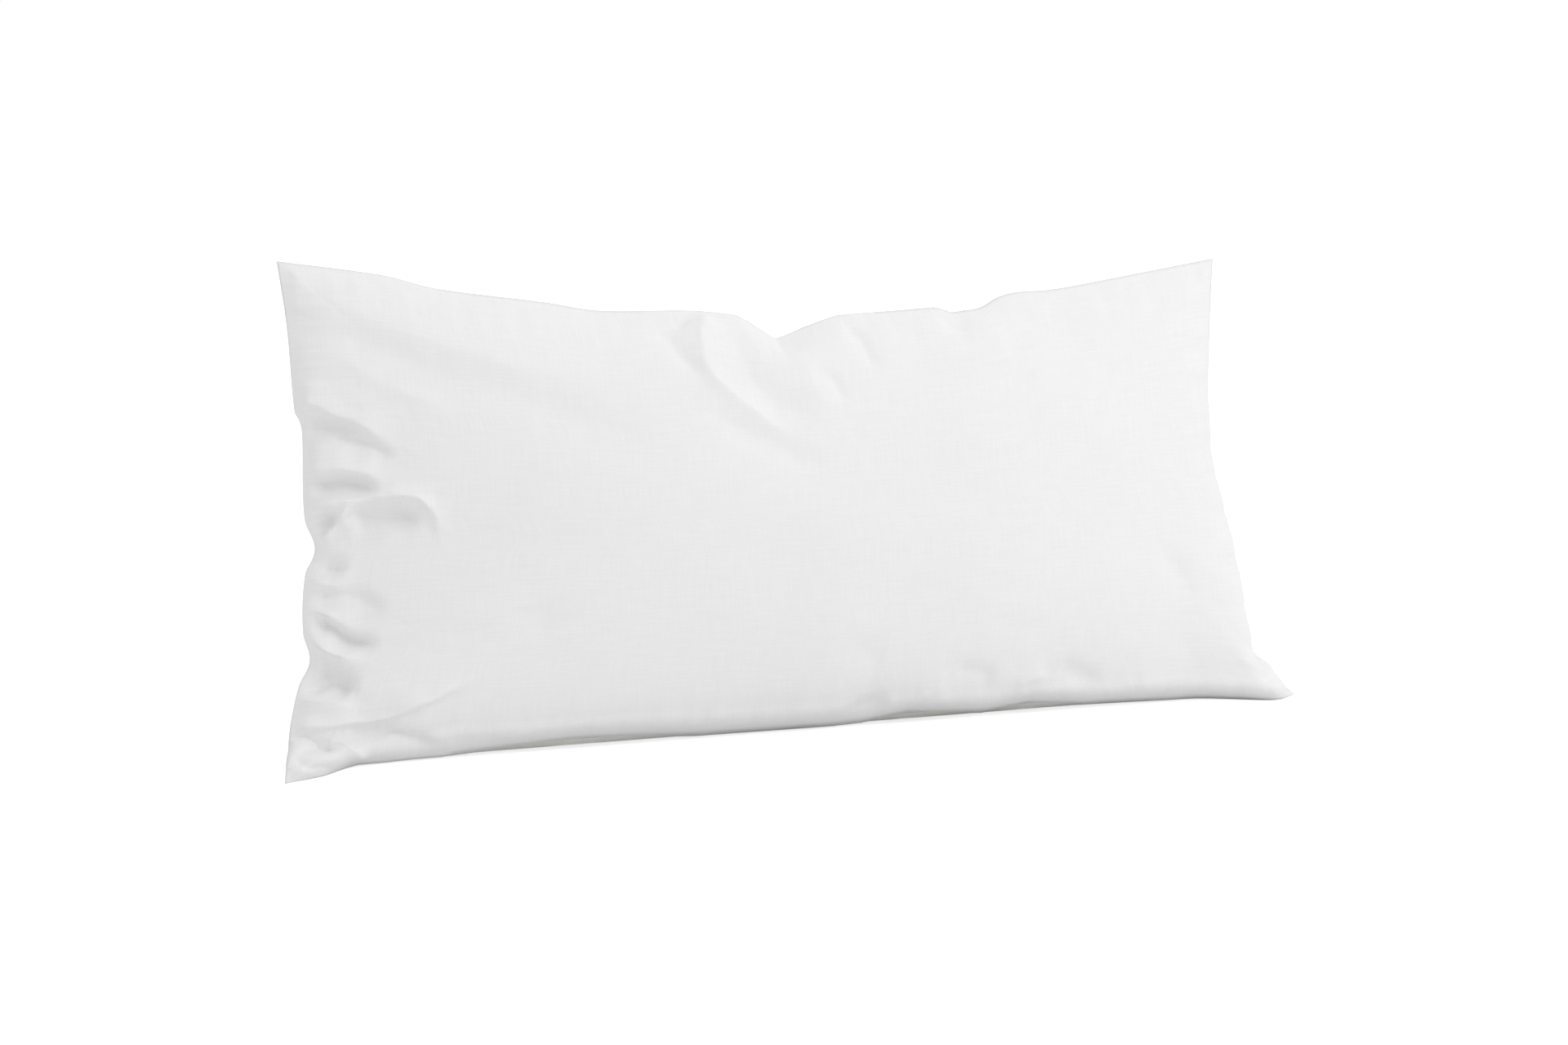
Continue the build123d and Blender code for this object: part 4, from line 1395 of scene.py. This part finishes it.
def grid_mesh(columns, rows, places, floor, inward):
    """A grid of cloth at those places, no lower than the floor."""
    bm = bmesh.new()
    bmesh.ops.create_grid(bm, x_segments=columns, y_segments=rows, size=0.5)
    lay_out(bm, *TICKING_CUT)
    world = stood(places)
    world[:, 2] = np.maximum(world[:, 2], floor)
    places = laid(world)
    for v in bm.verts:
        column, row = round((v.co.x + 0.5) * columns), round((v.co.y + 0.5) * rows)
        v.co = Vector(places[column * (rows + 1) + row])
    if inward:
        bmesh.ops.reverse_faces(bm, faces=bm.faces)
    return bm


class PILLOW_OT_inner(bpy.types.Operator):
    """Make the inner pillow's ticking and its stitches"""

    bl_idname = "pillow.inner"
    bl_label = "Inner Pillow"

    def execute(self, context):
        settings = context.scene.pillow_inner
        low, high = reach("ticking_front_panel")
        columns, rows = 132, 60
        ends = (low.x, high.x)
        layers = inner_layer(columns, rows, settings.clearance, ends, 0.004, 0.014)
        colour = settings.ticking_colour
        material = finish("cotton_ticking", colour, 0.9, 0.85, 2400, 0.7, 0.00008, 12, True, Sheen_Weight=0.2)
        for name, places, sign, node in (
            ("ticking_front", layers[0], 1, "ticking_front_panel"),
            ("ticking_back", layers[1], -1, "ticking_back_panel"),
        ):
            bm = grid_mesh(columns, rows, places, 0.0024, sign < 0)
            made[name] = BVHTree.FromBMesh(bm)
            panel = piece(name, bm, [material], [node])
            thicken(panel, settings.ticking_thickness)
            edge = places.reshape(columns + 1, rows + 1, 3)
        case = context.scene.pillow_case
        # One cell in from the edge, all the way round
        ring = [edge[i, 1] for i in range(1, columns - 1)]
        ring += [edge[columns - 1, j] for j in range(1, rows - 1)]
        ring += [edge[i, rows - 1] for i in range(columns - 1, 1, -1)]
        ring += [edge[1, j] for j in range(rows - 1, 1, -1)]
        ring = [Vector((p[0], p[1], 0)) for p in ring]
        bm = bmesh.new()
        stitches = []
        for here, onward in zip(ring, ring[1:] + ring[:1]):
            count = max(1, round((onward - here).length / SEAM_PITCH))
            stitches += [here.lerp(onward, i / count) for i in range(count)]
        stitch_row(bm, stitches + stitches[:1], 0.0026, 0.0005, 0.0005)
        piece("ticking_seam_stitches", bm, [sewing_thread(case)], ["ticking_seam_thread"])
        low, high = reach("ticking_closing_stitches")
        bm = bmesh.new()
        side = edge[columns, :, :2]
        for h in np.linspace(low.y + 0.0003, high.y - 0.0003, 24):
            x = float(np.interp(h, side[:, 1], side[:, 0]))
            turn = Matrix.Rotation(math.radians(22), 4, "X")
            size = Matrix.Diagonal((0.0007, 0.0006, 0.0044, 1))
            repeat(bm, grain_of_thread(), Matrix.Translation((x + 0.0001, h, 0)) @ turn @ size)
        piece("ticking_whip_stitches", bm, [sewing_thread(case)], ["ticking_closing_stitches"])
        return {"FINISHED"}


class PILLOW_OT_filling(bpy.types.Operator):
    """Make the fibre filling"""

    bl_idname = "pillow.filling"
    bl_label = "Fibre Filling"

    def execute(self, context):
        settings = context.scene.pillow_inner
        low, high = reach("ticking_front_panel")
        columns, rows = 120, 54
        clearance = settings.clearance + settings.filling_clearance
        ends = (low.x + 0.004, high.x - 0.004)
        layers = inner_layer(columns, rows, clearance, ends, 0.0065, 0.019)
        bm = bmesh.new()
        for places, sign in zip(layers, (1, -1)):
            for i, (x, h, f) in enumerate(places):
                lump = noise.noise(Vector((x * 42, h * 42, sign * 5)))
                lump += 0.5 * noise.noise(Vector((x * 110, h * 110, sign * 9)))
                places[i, 2] = f - sign * min(abs(f), 0.0022 * (1 + lump))
            join(bm, grid_mesh(columns, rows, places, 0.0044, sign < 0))
        bmesh.ops.remove_doubles(bm, verts=bm.verts[:], dist=0.00005)
        bmesh.ops.recalc_face_normals(bm, faces=bm.faces)
        colour = settings.fibre_colour
        material = finish("hollow_fibre", colour, 0.85, 0.95, scale=160, bump=0.0012, Sheen_Weight=0.5)
        filling = piece("fibre_core", bm, [material], ["fibre_filling"])
        return {"FINISHED"}


# ---------------------------------------------------------------- stage
class PILLOW_OT_stage(bpy.types.Operator):
    """Set out the floor, the lights and the camera"""

    bl_idname = "pillow.stage"
    bl_label = "Stage"

    def execute(self, context):
        settings = context.scene.pillow_stage
        scene = context.scene
        bm = bmesh.new()
        bmesh.ops.create_circle(bm, cap_ends=True, segments=96, radius=30)
        floor = bpy.data.objects.new("floor", mesh_of(bm, "floor"))
        scene.collection.objects.link(floor)
        material = finish("pale_floor", settings.floor_colour, 0.99, 0.9, scale=3, bump=0.00001)
        tree = material.node_tree
        shader = tree.nodes["Principled BSDF"]
        shader.inputs["Emission Color"].default_value = WHITE
        seen = add_node(tree, "LightPath").outputs["Is Camera Ray"]
        shine = add_node(tree, "Math", {0: seen, 1: 0.7}, operation="MULTIPLY")
        tree.links.new(shine.outputs[0], shader.inputs["Emission Strength"])
        floor.data.materials.append(material)

        world = bpy.data.worlds.new("studio")
        scene.world = world
        world.use_nodes = True
        tree = world.node_tree
        surround = tree.nodes["Background"]
        surround.inputs["Color"].default_value = WHITE
        surround.inputs["Strength"].default_value = settings.surround
        seen = add_node(tree, "Background", {"Color": WHITE, "Strength": 1.0})
        path = add_node(tree, "LightPath")
        mix = {0: path.outputs["Is Camera Ray"], 1: surround.outputs[0], 2: seen.outputs[0]}
        which = add_node(tree, "MixShader", mix)
        tree.links.new(which.outputs[0], tree.nodes["World Output"].inputs["Surface"])

        for name, place, size, power in (
            ("key", (1.65, -1.65, 1.8), 1.1, settings.key_power),
            ("top", (0.3, 0.6, 2.4), 1.6, settings.key_power * 0.35),
        ):
            lamp = bpy.data.lights.new(name, "AREA")
            lamp.size, lamp.energy = size, power
            light = bpy.data.objects.new(name, lamp)
            scene.collection.objects.link(light)
            light.location = place
            towards = Vector((0, 0, 0.2)) - Vector(place)
            light.rotation_euler = towards.to_track_quat("-Z", "Y").to_euler()

        lens = bpy.data.cameras.new("camera")
        lens.lens, lens.sensor_width = settings.lens, 36
        camera = bpy.data.objects.new("camera", lens)
        scene.collection.objects.link(camera)
        camera.location = settings.camera_place
        turn, tilt = settings.camera_turn, settings.camera_tilt
        ahead = Vector((-math.sin(turn) * math.cos(tilt), math.cos(turn) * math.cos(tilt), math.sin(tilt)))
        camera.rotation_euler = ahead.to_track_quat("-Z", "Y").to_euler()
        scene.camera = camera
        scene.view_settings.view_transform = "Standard"
        return {"FINISHED"}


class PILLOW_PT_panel(bpy.types.Panel):
    """Lists the pieces of the pillow"""

    bl_idname = "PILLOW_PT_panel"
    bl_label = "Bed Pillow"
    bl_space_type = "VIEW_3D"
    bl_region_type = "UI"
    bl_category = "Pillow"

    def draw(self, context):
        for name, steps in GROUPS:
            box = self.layout.box()
            for key in getattr(context.scene, name).__annotations__:
                box.prop(getattr(context.scene, name), key)
            for step in steps:
                box.operator(step.bl_idname)


GROUPS = [
    ("pillow_stage", [PILLOW_OT_stage]),
    ("pillow_case", [PILLOW_OT_case, PILLOW_OT_case_seam, PILLOW_OT_label]),
    (
        "pillow_zip",
        [
            PILLOW_OT_zip_tapes,
            PILLOW_OT_zip_coils,
            PILLOW_OT_zip_stops,
            PILLOW_OT_zip_stitches,
            PILLOW_OT_zip_slider,
            PILLOW_OT_zip_pull,
        ],
    ),
    ("pillow_inner", [PILLOW_OT_inner, PILLOW_OT_filling]),
]
SETTINGS = {
    "pillow_case": PillowCaseSettings,
    "pillow_zip": PillowZipSettings,
    "pillow_inner": PillowInnerSettings,
    "pillow_stage": PillowStageSettings,
}


def register():
    for name, group in SETTINGS.items():
        bpy.utils.register_class(group)
        setattr(bpy.types.Scene, name, PointerProperty(type=group))
    for name, steps in GROUPS:
        for step in steps:
            bpy.utils.register_class(step)
    bpy.utils.register_class(PILLOW_PT_panel)


def unregister():
    bpy.utils.unregister_class(PILLOW_PT_panel)
    for name, steps in GROUPS:
        for step in steps:
            bpy.utils.unregister_class(step)
    for name, group in SETTINGS.items():
        delattr(bpy.types.Scene, name)
        bpy.utils.unregister_class(group)


def main():
    register()
    bpy.ops.pillow.stage()
    bpy.ops.pillow.case()
    bpy.ops.pillow.case_seam()
    bpy.ops.pillow.label()
    bpy.ops.pillow.zip_tapes()
    bpy.ops.pillow.zip_coils()
    bpy.ops.pillow.zip_stops()
    bpy.ops.pillow.zip_stitches()
    bpy.ops.pillow.zip_slider()
    bpy.ops.pillow.zip_pull()
    bpy.ops.pillow.inner()
    bpy.ops.pillow.filling()
    bpy.context.view_layer.update()


if __name__ == "__main__":
    main()
